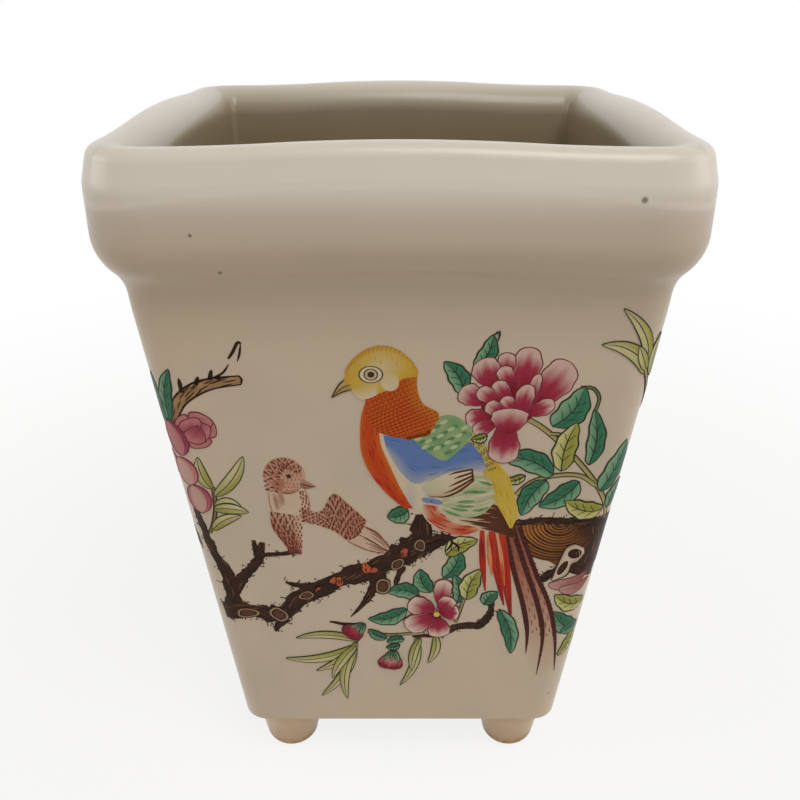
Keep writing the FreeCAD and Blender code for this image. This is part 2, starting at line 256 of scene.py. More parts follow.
# Painted shade inside the pot: all that lies within the inner face, fading out at the top of the lip.
inner = INSIDE_HALF + (up - wall_low[2]) * INSIDE_LEAN
inside = (1 - (out - inner).span(*INSIDE_EDGE)) * (1 - up.span(*INSIDE_CLEARS))
# Painted shade under the rim: it grows from 120 to 138 mm up and fades out again on the rim's foot.
neck_shade = up.span(*NECK_DARKENS) * (1 - up.span(*NECK_CLEARS))
# Painted shade on the rim, from its foot upwards; above the crease the painted highlight covers it.
band_shade = up.span(*BAND_SHADE_BEGINS)
# Painted highlight on the rim's upper face, above the crease.
crest = up.span(*CREST_HIGHLIGHT_BEGINS)
# A painted highlight along the crease of the rim, higher towards the middle of each strip as the rim's crown
# is.
crease = up - RIDGE_HEIGHT + along_strip * along_strip * RIDGE_DROP
crease_highlight = crease.span(*RIDGE_BELOW) * (1 - crease.span(*RIDGE_ABOVE))
colour = cloud.blend((*IVORY, 1), (*IVORY_WARM, 1))
# Only the pools and the iron specks below are the glaze's own colour; the other masks paint light and shade
# into it.
for mask, share, tint in ((pool, 0.5, IVORY_GREY), (band_shade, 0.8, IVORY_RIM_SHADE), (crest, 0.85, IVORY_PAINTED_HIGHLIGHT),
        (crease_highlight, 0.45, IVORY_PAINTED_HIGHLIGHT), (neck_shade, 0.52, IVORY_UNDER_RIM_SHADE), (inside, 0.85, PAINTED_INSIDE_SHADE),
        (speck, 0.55, IRON)):
    colour = (mask * share).blend(colour, (*tint, 1))
feed(shader, "Base Color", colour)
feed(shader, "Roughness", 0.30 + place.noise(160, 2) * 0.12)
waver = place.noise(38, 1) + place.noise(700, 1) * 0.03
feed(shader, "Normal", place.node("ShaderNodeBump", Height=waver, Strength=0.12, Distance=0.004))
shader.inputs["IOR"].default_value = 1.48
shader.inputs["Coat Weight"].default_value = 0.15
shader.inputs["Coat Roughness"].default_value = 0.12
print("glaze mixed:", len(glaze.node_tree.nodes), "nodes")

# %% [markdown]
# ## The feet
# The potter wipes the glaze off the soles, so that the pot does not stick to the kiln shelf. The feet are
# glazed above, and run out through a thin warm edge into bare sandy clay below. A mask of the height makes
# that edge, and a noise lets it wander as a wiped edge does.

# %% Mix the foot's finish and put both on the solids
FOOT_GLAZE = ink("d2b591")
CLAY = ink("c9a883")
CLAY_BURNT = ink("a5805c")
WIPED_BELOW = (0.0035, 0.0070)
TOASTED_BELOW = (0.006, 0.0135)

foot_clay, shader, place = new_finish("glaze_running_out_to_clay")
up = place.node("ShaderNodeSeparateXYZ", output=2, Vector=place)
wiped = 1 - (up + place.noise(120, 3) * 0.004).span(*WIPED_BELOW)
toasted = 1 - (up + place.noise(90, 2) * 0.005).span(*TOASTED_BELOW)
grit = place.noise(900, 4).span(0.35, 0.7)
colour = (toasted * 0.40).blend((*FOOT_GLAZE, 1), (*CLAY_BURNT, 1))
colour = wiped.blend(colour, grit.blend((*CLAY_BURNT, 1), (*CLAY, 1)))
feed(shader, "Base Color", colour)
feed(shader, "Roughness", 0.32 + wiped * 0.5)
feed(shader, "Normal",
    place.node("ShaderNodeBump", Height=grit * wiped + place.noise(60, 1), Strength=0.2, Distance=0.0006))

for name, node in nodes.items():
    for slot in range(len(node.data.materials)):
        node.data.materials[slot] = foot_clay if name.endswith("_foot") else glaze
print("feet and glaze put on", len(nodes), "solids")

# %% [markdown]
# ## The enamel
# The picture is painted over the fired glaze in coloured glass, and fired again. The enamel stands a hair
# proud of the wall. One material serves all of it: each dab carries its own colour in an attribute of its
# points, and the shader mottles that a little, as a brush leaves it.

# %% Mix the enamel
enamel, shader, place = new_finish("overglaze_enamel")
dab = place.node("ShaderNodeAttribute", {"attribute_name": "dab"}, output=0)
streak = place.noise(900, 3).span(0.3, 0.75)
thin = (streak * 0.015).blend(dab, (*IVORY, 1))
feed(shader, "Base Color", thin)
feed(shader, "Roughness", 0.28 + place.noise(500, 2) * 0.2)
feed(shader, "Normal",
    place.node("ShaderNodeBump", Height=place.noise(1400, 2), Strength=0.15, Distance=0.0003))
shader.inputs["Specular IOR Level"].default_value = 0.12
print("enamel mixed")

# %% [markdown]
# ## The brush
# Every mark is a small field with two edges: t runs along it and s across it. A field is laid on the wall
# as a grid of faces, closed down to the glaze on all sides, so that each dab is a thin solid. Curves with a
# bevel could draw lines, but not the shaded petals and feathers, whose colour changes from point to
# point. Marks that lie over others get a thicker coat, which keeps them in the painter's order.

# %% Lines and fields on the sheet
# How high the first coat stands off the glaze, what each coat adds and how deep a dab goes in, in mm.
GLAZE_GAP = 0.045
COAT = 0.0035
SUNK = -0.04


def along(points, t):
    """The point t of the way along a smooth line through the points."""
    points = [Vector(p) for p in points]
    ends = [points[0], *points, points[-1]]
    run = t * (len(points) - 1)
    k = min(int(run), len(points) - 2)
    f = run - k
    a, b, c, d = ends[k:k + 4]
    return b + 0.5 * f * (c - a + f * (2 * a - 5 * b + 4 * c - d + f * (3 * (b - c) + d - a)))


def field(left, right):
    """The field between two smooth edges, as a function of t along and s across."""
    return lambda t, s: along(left, t).lerp(along(right, t), s)


def ribbon(path):
    """The field along a path of points (x, z, width)."""
    def at(t, s):
        here = along(path, t)
        way = (along(path, min(1, t + 0.01)) - along(path, max(0, t - 0.01))).to_2d()
        if way.length < 1e-9:
            way = Vector((1, 0))
        way.normalize()
        return here.to_2d() + Vector((-way.y, way.x)) * (s - 0.5) * max(here.z, 0.02)
    return at


def oval(x, z, wide, tall, tilt=0):
    """An oval field round a centre."""
    c, s_ = math.cos(tilt), math.sin(tilt)

    def at(t, s):
        px = wide / 2 * math.sin(math.pi * t) * (2 * s - 1)
        pz = -tall / 2 * math.cos(math.pi * t)
        return Vector((x + px * c - pz * s_, z + px * s_ + pz * c))
    return at


def mixed(first, second, share):
    """A colour part of the way between two others."""
    share = min(1, max(0, share))
    return tuple(a + (b - a) * share for a, b in zip(first, second))


print("brush: gap %.3f mm, coat %.4f mm" % (GLAZE_GAP, COAT))

# %% The painting: marks gathered into one piece
chance = random.Random(11)


class Painting:
    """Marks of enamel on one side of the pot, gathered into one piece."""

    def __init__(self, name, side=0, coat=0):
        self.name = name
        self.side = side
        self.coat = coat
        self.points = []
        self.faces = []
        self.dabs = []

    def over(self):
        """What comes next lies over what is there."""
        self.coat += 1

    def lift(self):
        """How far the present coat stands off the wall, in mm."""
        return GLAZE_GAP + COAT * self.coat

    def wash(self, at, colour, rows, across):
        """Lays a field over what is there."""
        self.over()
        self.lay(at, colour, rows, across)

    def put(self, place, lift, colour):
        self.points.append(wall_point(self.side, place.x, place.y, lift))
        self.dabs.append(colour)
        return len(self.points) - 1

    def lay(self, at, colour, rows, across):
        """Lays a field as a thin closed solid. The colour is one colour, or a function of t and s."""
        tint = colour if callable(colour) else lambda t, s: colour
        lift = self.lift()
        top = []
        under = []
        for i in range(rows + 1):
            t = i / rows
            tip = (at(t, 0) - at(t, 1)).length < 1e-4
            steps = [0.5] if tip else [j / across for j in range(across + 1)]
            top.append([self.put(at(t, s), lift, tint(t, s)) for s in steps])
            under.append([self.put(at(t, s), SUNK, tint(t, s)) for s in ([0.5] if tip else [0, 1])])
        start = len(self.faces)
        for i in range(rows):
            self.join(top[i], top[i + 1])
            self.join(under[i + 1], under[i])
            self.join([under[i][0], top[i][0]], [under[i + 1][0], top[i + 1][0]])
            self.join([top[i][-1], under[i][-1]], [top[i + 1][-1], under[i + 1][-1]])
        if len(top[0]) > 1:
            self.faces.append([*top[0], *reversed(under[0])])
        if len(top[-1]) > 1:
            self.faces.append([*reversed(top[-1]), *under[-1]])
        a, b, c = at(0.5, 0), at(0.5, 1), at(0.51, 0.5)
        if (b - a).cross(c - at(0.5, 0.5)) < 0:
            self.faces[start:] = [face[::-1] for face in self.faces[start:]]

    def join(self, low, high):
        """Faces between two rows of points. A row of one point is a tip."""
        if len(low) == 1 and len(high) == 1:
            return
        if len(low) == 1:
            self.faces += [[low[0], high[j + 1], high[j]] for j in range(len(high) - 1)]
        elif len(high) == 1:
            self.faces += [[low[j], low[j + 1], high[0]] for j in range(len(low) - 1)]
        else:
            self.faces += [[low[j], low[j + 1], high[j + 1], high[j]] for j in range(len(low) - 1)]

    def line(self, points, width, colour, start=0.3, end=0.3):
        """A brush line, drawn out to a share of its width at its start and end."""
        points = [Vector(p) for p in points]
        length = sum((b - a).length for a, b in zip(points, points[1:]))
        rows = max(3, min(40, round(length / 0.6)))

        def swell(t):
            grow = min(1, t / 0.35)
            fade = min(1, (1 - t) / 0.35)
            return width * (start + (1 - start) * grow) * (end + (1 - end) * fade)

        path = [(*along(points, i / rows), swell(i / rows)) for i in range(rows + 1)]
        self.lay(ribbon(path), colour, rows, 1)

    def edge(self, at, width, colour):
        """Lines along the two edges of a field."""
        for s in (0, 1):
            self.line([at(i / 16, s) for i in range(17)], width, colour, 0.6, 0.6)

    def hairs(self, at, count, width, colour, reach, lean=0):
        """Short lines scattered over a field, running along it."""
        low, high = 0.05, 0.95
        for i in range(count):
            s = low + (high - low) * ((i * 0.618) % 1)
            t = chance.uniform(0, 1 - reach)
            end = min(high, max(low, s + lean))
            stroke = [at(t, s), at(t + reach / 2, (s + end) / 2), at(t + reach, end)]
            self.line(stroke, width, colour, 0.2, 0.2)

    def scales(self, at, rows, across, width, colour, depth, share=0.42):
        """Rows of small curved feather edges over a field."""
        for i in range(rows):
            t = (i + 0.3) / rows
            for j in range(across):
                s = (j + (0.75 if i % 2 else 0.25)) / across
                reach = share / across
                low = max(0.02, s - reach)
                high = min(0.98, s + reach)
                drop = min(1, t + depth / rows)
                self.line([at(t, low), at(drop, s), at(t, high)], width, colour, 0.5, 0.5)

    def dashes(self, at, rows, across, width, colour, share):
        """Rows of short strokes over a field, staggered like feathers."""
        for i in range(rows):
            for j in range(across):
                s = (j + (0.72 if i % 2 else 0.28)) / across
                t = (i + 0.5 + chance.uniform(-0.15, 0.15)) / rows
                reach = share / rows * chance.uniform(0.35, 0.6)
                stroke = [at(max(0, t - reach), s), at(t, s + 0.01), at(min(1, t + reach), s)]
                self.line(stroke, width, colour, 0.5, 0.3)

    def bake(self):
        """Makes the piece, in its place on the wall, in enamel."""
        mesh = bpy.data.meshes.new(self.name)
        mesh.from_pydata(self.points, [], self.faces)
        colours = mesh.color_attributes.new("dab", "FLOAT_COLOR", "POINT")
        colours.data.foreach_set("color", [n for dab in self.dabs for n in (*dab, 1)])
        piece = bpy.data.objects.new(self.name, mesh)
        bpy.context.collection.objects.link(piece)
        mesh.materials.append(enamel)
        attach(piece, "root")
        print(self.name, len(mesh.polygons), "faces, up to %.2f mm off the wall" % self.lift())


print("marks: fields, lines, edges, hairs, scales and dashes")

# %% [markdown]
# ## Leaves, petals and limbs
# The sprays are made of the same few brush habits: a leaf is dark on one side of its rib and light on the
# other, a petal runs from crimson at its foot to a pale edge, and a limb is a dark ribbon with
# bark drawn on it. Each habit is a function here, and the picture below then only says where they go.

# %% Brush habits
LINE_DARK = ink("3a2a20")
LINE_LEAF = ink("2f3a2a")
LINE_PETAL = ink("6e3038")
LEAF_HUES = {
    "teal": (ink("1e563f"), ink("428464"), ink("8eb08e")),
    "olive": (ink("827f30"), ink("aeaa54"), ink("d8d19a")),
}
CRIMSON = ink("800a20")
ROSE = ink("a42e48")
PINK = ink("c2747c")
BLUSH = ink("dac3b5")
BARK = ink("2a1406")
BARK_MID = ink("522c14")
BARK_LIGHT = ink("80603c")
STEM = ink("b9b07a")
FADED = ink("bdb08c")
ROUGH = 0.25


def spine(base, tip, bend):
    """The bent line from a base to a tip as a function of t, and the direction square to it."""
    base = Vector(base)
    way = Vector(tip) - base
    square = Vector((-way.y, way.x))
    return lambda t: base + way * t + square * bend * 4 * t * (1 - t), square.normalized()


def round_about(x, z, reach, a):
    """The point at a distance from another, in the direction of the angle a."""
    return (x + reach * math.cos(a), z + reach * math.sin(a))


def each(habit, work, rows):
    """Uses one brush habit for every row of its settings."""
    for row in rows:
        habit(work, *row)


def leaf(work, base, tip, width, bend=0.1, hue="teal"):
    """A leaf with a rib, side veins and a thin dark outline."""
    rib, square = spine(base, tip, bend)
    dark, mid, light = LEAF_HUES[hue]

    def at(t, s):
        wavy = 1 + 0.07 * math.sin(19 * t + 4 * s + base[0])
        half = width / 2 * 2.42 * t ** 0.55 * (1 - t) ** 0.75 * wavy
        return rib(t) + square * half * (2 * s - 1)

    def tint(t, s):
        near = 1 - abs(2 * s - 1)
        if s < 0.5:
            return mixed(mid, dark, 0.25 + 0.75 * near - 0.3 * t)
        return mixed(light, mid, 0.15 + 0.9 * near ** 1.5)

    work.wash(at, tint, 12, 6)
    work.over()
    work.edge(at, 0.4, LINE_LEAF)
    work.line([rib(t) for t in (0, 0.3, 0.6, 0.96)], 0.34, LINE_LEAF, 0.9, 0.2)
    for k in range(3):
        t = 0.2 + 0.2 * k
        for s in (0.12, 0.88):
            work.line([rib(t), at(t + 0.1, (s + 0.5) / 2), at(t + 0.17, s)], 0.2, LINE_LEAF, 0.7, 0.2)


def blade(work, base, tip, width, bend=0.1, hue="olive"):
    """A narrow grassy leaf, with one rib."""
    rib, square = spine(base, tip, bend)
    dark, mid, light = LEAF_HUES[hue]

    def at(t, s):
        half = width / 2 * 2.2 * t ** 0.5 * (1 - t) ** 0.7
        return rib(t) + square * half * (2 * s - 1)

    def tint(t, s):
        return mixed(mixed(mid if s < 0.5 else light, dark, 0.7 - t), FADED, 1.6 * t - 0.7)

    work.wash(at, tint, 10, 4)
    work.over()
    work.edge(at, 0.26, LINE_LEAF)
    work.line([at(t, 0.5) for t in (0.02, 0.35, 0.7, 0.97)], 0.24, LINE_LEAF, 0.8, 0.2)


def petal(work, base, tip, width, bend=0, deep=CRIMSON, mid=ROSE, pale=BLUSH, reach=0.5):
    """A round petal, deep at its foot and pale at its edge."""
    rib, square = spine(base, tip, bend)

    def at(t, s):
        u = t * (2 - t)
        wavy = 1 + 0.05 * math.sin(21 * u + 5 * s + base[0])
        half = width / 2 * 1.36 * u ** 0.55 * (1 - u ** 4) ** 0.5 * wavy
        return rib(u) + square * half * (2 * s - 1)

    def tint(t, s):
        streaky = 0.05 * math.cos(17 * s + 3 * t)
        far = t * (2 - t) + 0.25 * abs(2 * s - 1) ** 2 + streaky
        if far < reach:
            return mixed(deep, mid, far / reach)
        return mixed(mid, pale, (far - reach) / (0.92 - reach))

    work.wash(at, tint, 14, 10)
    work.over()
    work.edge(at, 0.26, LINE_PETAL)


def limb(work, path, bark, moss=0):
    """A branch along points (x, z, width), with ragged edges, bark lines and tufts of moss."""
    bumps = [chance.uniform(-ROUGH, ROUGH) for _ in range(60)]

    def at(t, s):
        place = ribbon(path)(t, s)
        k = int(t * 29) * 2
        ragged = bumps[k] if s < 0.5 else bumps[k + 1]
        return place + (place - ribbon(path)(t, 0.5)) * ragged * abs(2 * s - 1)

    shades = [chance.random() for _ in range(97)]

    def tint(t, s):
        spot = shades[int(t * 37 + s * 59) % 97]
        return mixed(BARK, BARK_MID, 0.75 * spot * (1 - abs(2 * s - 1.2)))

    length = sum((Vector(b[:2]) - Vector(a[:2])).length for a, b in zip(path, path[1:]))
    rows = max(5, round(length / 0.8))
    work.wash(at, tint, rows, 4)
    work.over()
    work.hairs(at, bark // 2, 0.32, mixed(BARK_MID, BARK_LIGHT, 0.4), 2.6 / max(length, 4), 0.1)
    work.hairs(at, bark, 0.4, BARK, 4.0 / max(length, 5), -0.1)
    for i in range(moss):
        t = (i + chance.random()) / moss
        s = 1.0 if i % 3 == 0 else 0.0
        foot = at(t, s)
        out = (foot - at(t, 0.5)).normalized() * chance.uniform(0.15, 0.5)
        tip = foot + out + Vector((chance.uniform(-0.4, 0.4), 0))
        work.line([foot - out * 0.5, tip], 0.22, BARK, 1, 0.3)
        for reach in (1.1, 2):
            dot = foot + out * reach + Vector((chance.uniform(-0.7, 0.7), chance.uniform(-0.3, 0.3)))
            work.lay(oval(dot.x, dot.y, 0.36, 0.3), BARK, 4, 1)


print("habits: leaf, blade, petal and limb")

# %% [markdown]
# ## The branch
# The birds sit on an old knotted branch that comes in over the left edge, and climbs to the right behind
# the pheasant. It is laid first, because all else lies over it.

# %% Paint the branch
branch = Painting("old_branch")
left_arm = [(-46, 84, 1.6), (-44.5, 78, 2.2), (-42.5, 71, 2.6), (-40, 64.5, 3.2), (-39.5, 57, 4.2),
    (-40, 52, 4.4)]
main_arm = [(-42.5, 53, 4.6), (-36, 54, 4.4), (-31, 52.8, 5), (-27, 54, 5), (-22.5, 58.8, 4.8),
    (-16, 62.6, 4.8), (-9, 66, 5.2), (-3, 69.2, 5.6), (1, 72, 6.4), (4.5, 76, 5.6), (4.8, 83, 2.4)]
each(limb, branch, (
    (left_arm, 14, 16),
    ([(-39.3, 60, 2.8), (-36, 65.5, 2.6), (-33, 69.5, 2.4), (-31.3, 75, 1.2)], 6, 8),
    ([(-33.2, 71, 1.2), (-33.3, 75.6, 0.9)], 2),
    ([(-33, 71.2, 1.4), (-28, 71.6, 1.1), (-23.5, 72.2, 0.7)], 3, 6),
    (main_arm, 60, 70),
    ([(-1, 70, 4.2), (4.5, 73.5, 5), (9.5, 76, 3.4), (14, 76.2, 1.2)], 10, 10),
    ([(-4.5, 66.5, 4), (-6.2, 61.5, 2.6), (-8.2, 57, 1.6), (-11.8, 52, 0.3)], 6, 5),
    ([(0.5, 68, 2), (-0.6, 64, 1.2), (-1.2, 60.5, 0.3)], 2),
    ([(-20.5, 61.5, 1.8), (-24, 62, 1.4), (-26.8, 63, 0.5)], 2, 5),
    ([(-27.5, 51.5, 3.2), (-29.5, 49, 1.8), (-30.3, 47.2, 0.6)], 2, 4)))

KNOT_RIM = ink("9c8064")
KNOT_CORE = ink("5e3826")
KNOT_RED = ink("b0563c")
KNOT_ORANGE = ink("dd6b2c")


def knot(work, x, z, wide, tall, tilt):
    """The scar of a lost twig: an uneven pale rim round a dark core."""
    middle = Vector((x, z))
    for share, hue in ((1.14, BARK), (1, KNOT_RIM), (0.78, BARK), (0.6, KNOT_CORE)):
        scar = oval(x, z, wide * share, tall * share, tilt)

        def uneven(t, s):
            wobble = 0.16 * math.sin(math.pi * t) * math.sin(7 * t + 4 * s + x)
            return middle + (scar(t, s) - middle) * (1 + wobble)

        work.wash(uneven, hue, 12, 2)


each(knot, branch, (
    (-36.7, 53.3, 5.4, 2.8, 0.05), (-29.1, 52.8, 3.8, 4.8, 0.5), (-22.1, 58.9, 3.6, 2.3, 0.5),
    (-4, 61.8, 3.6, 4.4, -0.4), (-0.6, 68.6, 3.4, 2.6, 0.7), (4.6, 74.2, 2.4, 3.4, 0.3)))
for x, z, wide, tall, hue in ((-15.1, 63.4, 3.6, 3.6, KNOT_ORANGE), (-7.5, 67.4, 4.6, 3.6, KNOT_ORANGE),
        (1.4, 71.6, 2.4, 3.4, KNOT_RED), (-19.4, 61, 1.4, 1.6, KNOT_RED)):
    for _ in range(6):
        middle = (x + wide * chance.uniform(-0.3, 0.3), z + tall * chance.uniform(-0.3, 0.3))
        spot = oval(*middle, wide * chance.uniform(0.35, 0.65), tall * chance.uniform(0.25, 0.5),
            chance.uniform(0, 1.5))
        branch.wash(spot, mixed(hue, KNOT_RED, chance.random()), 8, 3)
    branch.over()
    branch.hairs(oval(x, z, wide, tall, 0.5), 6, 0.34, BARK, 0.3, 0.2)
branch.bake()

# %% [markdown]
# ## The cut trunk
# At the right the branch ends in a thick sawn trunk, half hidden by the tail. Its grain runs in arcs, a
# pale scar with two dark holes lies across it, and its far end turns round the corner of the pot.

# %% Paint the trunk
TRUNK = ink("b07232")
TRUNK_DARK = ink("3c1e0e")
SCAR_PALE = ink("d8c6ae")


def bole_tint(t, s):
    dark = 1.2 * abs(s - 0.4) * (0.5 + 0.7 * t) + 2.3 * max(0, t - 0.4) - 0.05
    return mixed(TRUNK, TRUNK_DARK, dark)


trunk = Painting("sawn_trunk")
bole = field([(25.5, 81), (32, 81.6), (40, 81.2), (49, 81)],
    [(27.5, 71.5), (33, 70.2), (39, 66.2), (46, 63.4)])
trunk.lay(bole, bole_tint, 44, 8)
trunk.over()
for i in range(13):
    reach = 1.2 + 0.85 * i
    angles = (0.05, 0.5, 1, 1.5, 2.1, 2.7)
    arc = [(36 - reach * math.cos(a), 80.6 - 0.95 * reach * math.sin(a)) for a in angles]
    trunk.line(arc, 0.42 if i % 3 else 0.7, TRUNK_DARK if i % 2 else BARK_MID, 0.4, 0.4)
each(limb, trunk, (
    ([(25, 80.6, 1.4), (32, 81.2, 1.9), (40, 81, 2.1), (49, 80.6, 2.4)], 16, 30),
    ([(45, 80, 3.4), (45.6, 74, 4.4), (43.6, 68, 3.6), (42.4, 64.5, 1.2)], 14, 8),
    ([(40, 68.5, 3), (36.5, 66.5, 2.8), (33.5, 64, 2), (31.5, 62.5, 0.6)], 8, 8)))
scar = field([(35.4, 63.6), (36.1, 67.1), (37.1, 71), (38, 73.5), (39.9, 74.6), (42, 73.5)],
    [(35.6, 63.4), (38.4, 64.8), (39.3, 66.2), (39.8, 68.5), (41.2, 69.4), (42.4, 71.6)])
for at, tint in ((scar, lambda t, s: mixed(SCAR_PALE, BARK_LIGHT, 0.6 * abs(2 * s - 1) ** 3)),
        (oval(40.1, 71.7, 3.2, 2.9, 0.3), BARK), (oval(37.7, 67.4, 1.7, 4.6, -0.4), TRUNK_DARK)):
    trunk.wash(at, tint, 14, 4)
trunk.over()
trunk.edge(scar, 0.4, BARK)
trunk.bake()

# %% [markdown]
# ## The peony
# The peony is the one big flower: a heap of round petals, crimson at the foot and pale at the rim. The
# petals are laid from the back to the front, each over the last.

# %% Paint the peony's leaves and stems
peony_leaves = Painting("peony_leaves")


def twig(work, points, width, fill=STEM):
    """A thin stem with a dark line on both sides."""
    path = [(*p, width) for p in points]
    work.wash(ribbon(path), lambda t, s: mixed(fill, LEAF_HUES["olive"][0], s * 0.8), 4 * len(points), 2)
    work.over()
    work.edge(ribbon(path), 0.3, LINE_DARK)


each(twig, peony_leaves, (
    ([(26, 108.5), (30, 105.8), (34, 102), (38.5, 97), (43, 91), (46, 85), (46.8, 81)], 1.1),
    ([(25.4, 88.4), (28.5, 91.8), (33.5, 93.6), (39, 93.6), (42.6, 91)], 1),
    ([(31.6, 104.4), (34.6, 103.8), (36.4, 100)], 0.7),
    ([(36.8, 115.6), (39.4, 115.4), (40.9, 113.2), (40.5, 110)], 0.6, LEAF_HUES["teal"][1])))
each(leaf, peony_leaves, (
    ((15.2, 120.4), (18.4, 127.6), 3.6, -0.12), ((13.2, 114.2), (8.9, 121.6), 4.2, -0.1),
    ((32, 106.2), (37.8, 115.8), 6.2, -0.12), ((40.6, 96.4), (40.2, 110.4), 3.8, -0.08),
    ((34.8, 94.8), (37, 107.2), 5, 0.06, "olive"), ((43.8, 89.4), (49, 102), 5.2, -0.05),
    ((33.2, 93.8), (21.6, 98.6), 5.4, -0.12), ((27.2, 93.6), (22.4, 92), 2.2, 0.1, "olive"),
    ((31.8, 92.4), (27, 82.8), 5, -0.08), ((39, 92), (30.8, 85.2), 5.2),
    ((45.2, 84.2), (36.4, 86.8), 5, 0.14, "olive"), ((46.6, 84), (50.5, 91), 3.6),
    ((1.8, 84.2), (-2.8, 82.2), 4.4, 0.12), ((18.4, 104), (15, 103), 2.2, 0.1, "olive")))
peony_leaves.line([(18.4, 127.4), (19.6, 128.2), (19.4, 126.2)], 0.5, LINE_LEAF)
each(blade, peony_leaves, (
    ((50, 118.2), (40, 125.4), 3.4, -0.2), ((50.4, 119.6), (43.4, 133.2), 2.8, -0.12),
    ((50.3, 119), (47.6, 125), 2.4, 0), ((52.5, 117), (53.5, 127), 2.6)))
twig(peony_leaves, [(50, 119.4), (53, 113), (56.5, 104)], 0.8)
peony_leaves.bake()

# %% Paint the peony
PEONY_PALE = ink("d2b3a8")
peony = Painting("peony", coat=6)
peony.lay(oval(22.6, 112.2, 12, 12.6), CRIMSON, 14, 4)
for base, tip, width, bend, reach in (
        ((27.2, 110.8), (33.9, 121.6), 7.4, -0.05, 0.5), ((25.4, 113.6), (25.7, 124.8), 6, 0, 0.6),
        ((21.6, 117.6), (21.3, 123.6), 3.8, 0, 0.5), ((19.8, 115.4), (16.5, 122.2), 6, 0.05, 0.55),
        ((17.6, 111.8), (12.4, 115.2), 5.2, 0, 0.5), ((19.4, 109.2), (14, 107), 5.6, 0, 0.62),
        ((20.4, 107.6), (15.4, 104.8), 3.6, 0, 0.6), ((25.4, 109.4), (31.8, 112.2), 3.8, -0.06, 0.6),
        ((27.6, 111.4), (28.1, 118.8), 2.4, 0.06, 0.45), ((23, 116), (20.4, 120.4), 3.6, 0, 0.45),
        ((22.6, 112.6), (19.4, 117), 3.6, 0, 0.5), ((20.4, 112), (16, 115.2), 3.8, 0, 0.5),
        ((24.4, 109.8), (21, 113.2), 3.4, 0, 0.5), ((22.2, 109.4), (17.7, 111.6), 3.6, 0, 0.5),
        ((25.2, 107.8), (26.2, 116.4), 4, 0.03, 0.6), ((22.2, 107.6), (22, 97), 6.8, 0, 0.62),
        ((22.8, 104.4), (22.8, 110.7), 8, 0, 0.42)):
    petal(peony, base, tip, width, bend, pale=PEONY_PALE, reach=reach + 0.06)
peony.bake()

# %% [markdown]
# ## The hen
# The small brown bird at the left is drawn almost in line alone: rows of short reddish strokes over a pale
# ground, closer together on the wing and the head, and left white at the throat.

# %% Paint the hen
HEN_PALE = ink("cfa993")
HEN_WHITE = ink("d2bca6")
HEN_BROWN = ink("b07a62")
HEN_RED = ink("8d4836")
HEN_DARK = ink("5f3026")
HEN_BEAK = ink("b98f79")

hen = Painting("hen", coat=8)
hen_tail = field([(-8.4, 79.8), (-5, 77.6), (-2.3, 73)], [(-11.9, 75.4), (-7.5, 72.8), (-3.4, 71.8)])
hen_throat = field([(-28.6, 90.4), (-28.8, 86.4), (-28, 82)], [(-20.8, 90), (-20, 85.6), (-21.2, 81)])
hen_belly = field([(-29, 84), (-28.8, 79.4), (-26.6, 75), (-25, 71.8)],
    [(-21.4, 82.4), (-22, 78.6), (-22.2, 75), (-22.6, 71.8)])
hen_wing = field([(-22, 85), (-17.8, 83.8), (-14.7, 88.8), (-11.2, 85.6), (-7.5, 81.2)],
    [(-21.8, 81), (-17.5, 79.6), (-14.5, 78), (-11.7, 75.6), (-9.2, 77.4)])
for at, tint in ((hen_tail, lambda t, s: mixed(HEN_PALE, HEN_WHITE, 0.3 + t)), (hen_throat, HEN_WHITE),
        (hen_belly, lambda t, s: mixed(HEN_WHITE, HEN_BROWN, (2.1 * t + 0.3) * (1.1 - s ** 2))),
        (hen_wing, lambda t, s: mixed(HEN_PALE, HEN_BROWN, 0.2 + 0.8 * t)),
        (oval(-25.1, 93.5, 9.2, 9.8), lambda t, s: mixed(HEN_PALE, HEN_BROWN, 0.2 + 0.5 * t - 0.3 * s))):
    hen.wash(at, tint, 14, 6)
hen_crown = field([(-29.5, 89.6), (-29.6, 94.4), (-27.4, 97.6), (-24, 98.2), (-21, 95.6)],
    [(-26.6, 88.8), (-26, 93), (-25.2, 94.8), (-24.2, 95.2), (-22.2, 94)])
hen_neck = field([(-22.6, 90), (-21.8, 86.4), (-23, 83)], [(-20.9, 89.4), (-20, 85), (-20.4, 81)])
hen_cheek = oval(-24.6, 92.6, 7.4, 7.6)


def turned(at):
    """A field with its two directions exchanged, so that strokes stand across it."""
    return lambda t, s: at(s, t)


def dark_belly(t, s):
    """The left of the belly, which is the darker side."""
    return hen_belly(t, 0.72 * s)


hen.wash(oval(-26.4, 91.4, 2.6, 3.2, -0.2),
    lambda t, s: mixed(HEN_RED, HEN_BROWN, 0.4 + abs(2 * s - 1) + abs(2 * t - 1)), 10, 6)
for at, rows, across, hue in ((hen_belly, 12, 8, HEN_RED), (hen_neck, 8, 3, HEN_RED),
        (turned(hen_crown), 5, 16, HEN_RED), (hen_cheek, 11, 9, HEN_BROWN),
        (turned(hen_wing), 9, 17, HEN_RED), (dark_belly, 8, 4, HEN_DARK),
        (turned(hen_crown), 3, 9, HEN_DARK), (turned(hen_wing), 7, 12, HEN_DARK)):
    hen.over()
    hen.dashes(at, rows, across, 0.38, hue, 0.9)
hen.over()
hen_chin = field([(-28.2, 90.4), (-27.4, 84)], [(-25.4, 89.4), (-25, 85)])
hen.hairs(hen_chin, 7, 0.42, mixed(HEN_BROWN, HEN_WHITE, 0.35), 0.7)
hen.edge(hen_throat, 0.2, HEN_BROWN)
hen.hairs(hen_tail, 7, 0.2, HEN_RED, 0.5)
hen.edge(hen_tail, 0.26, HEN_RED)
hen.line([hen_tail(t, 0.5) for t in (0.3, 0.6, 0.98)], 0.3, HEN_DARK, 0.4, 0.4)
hen.over()
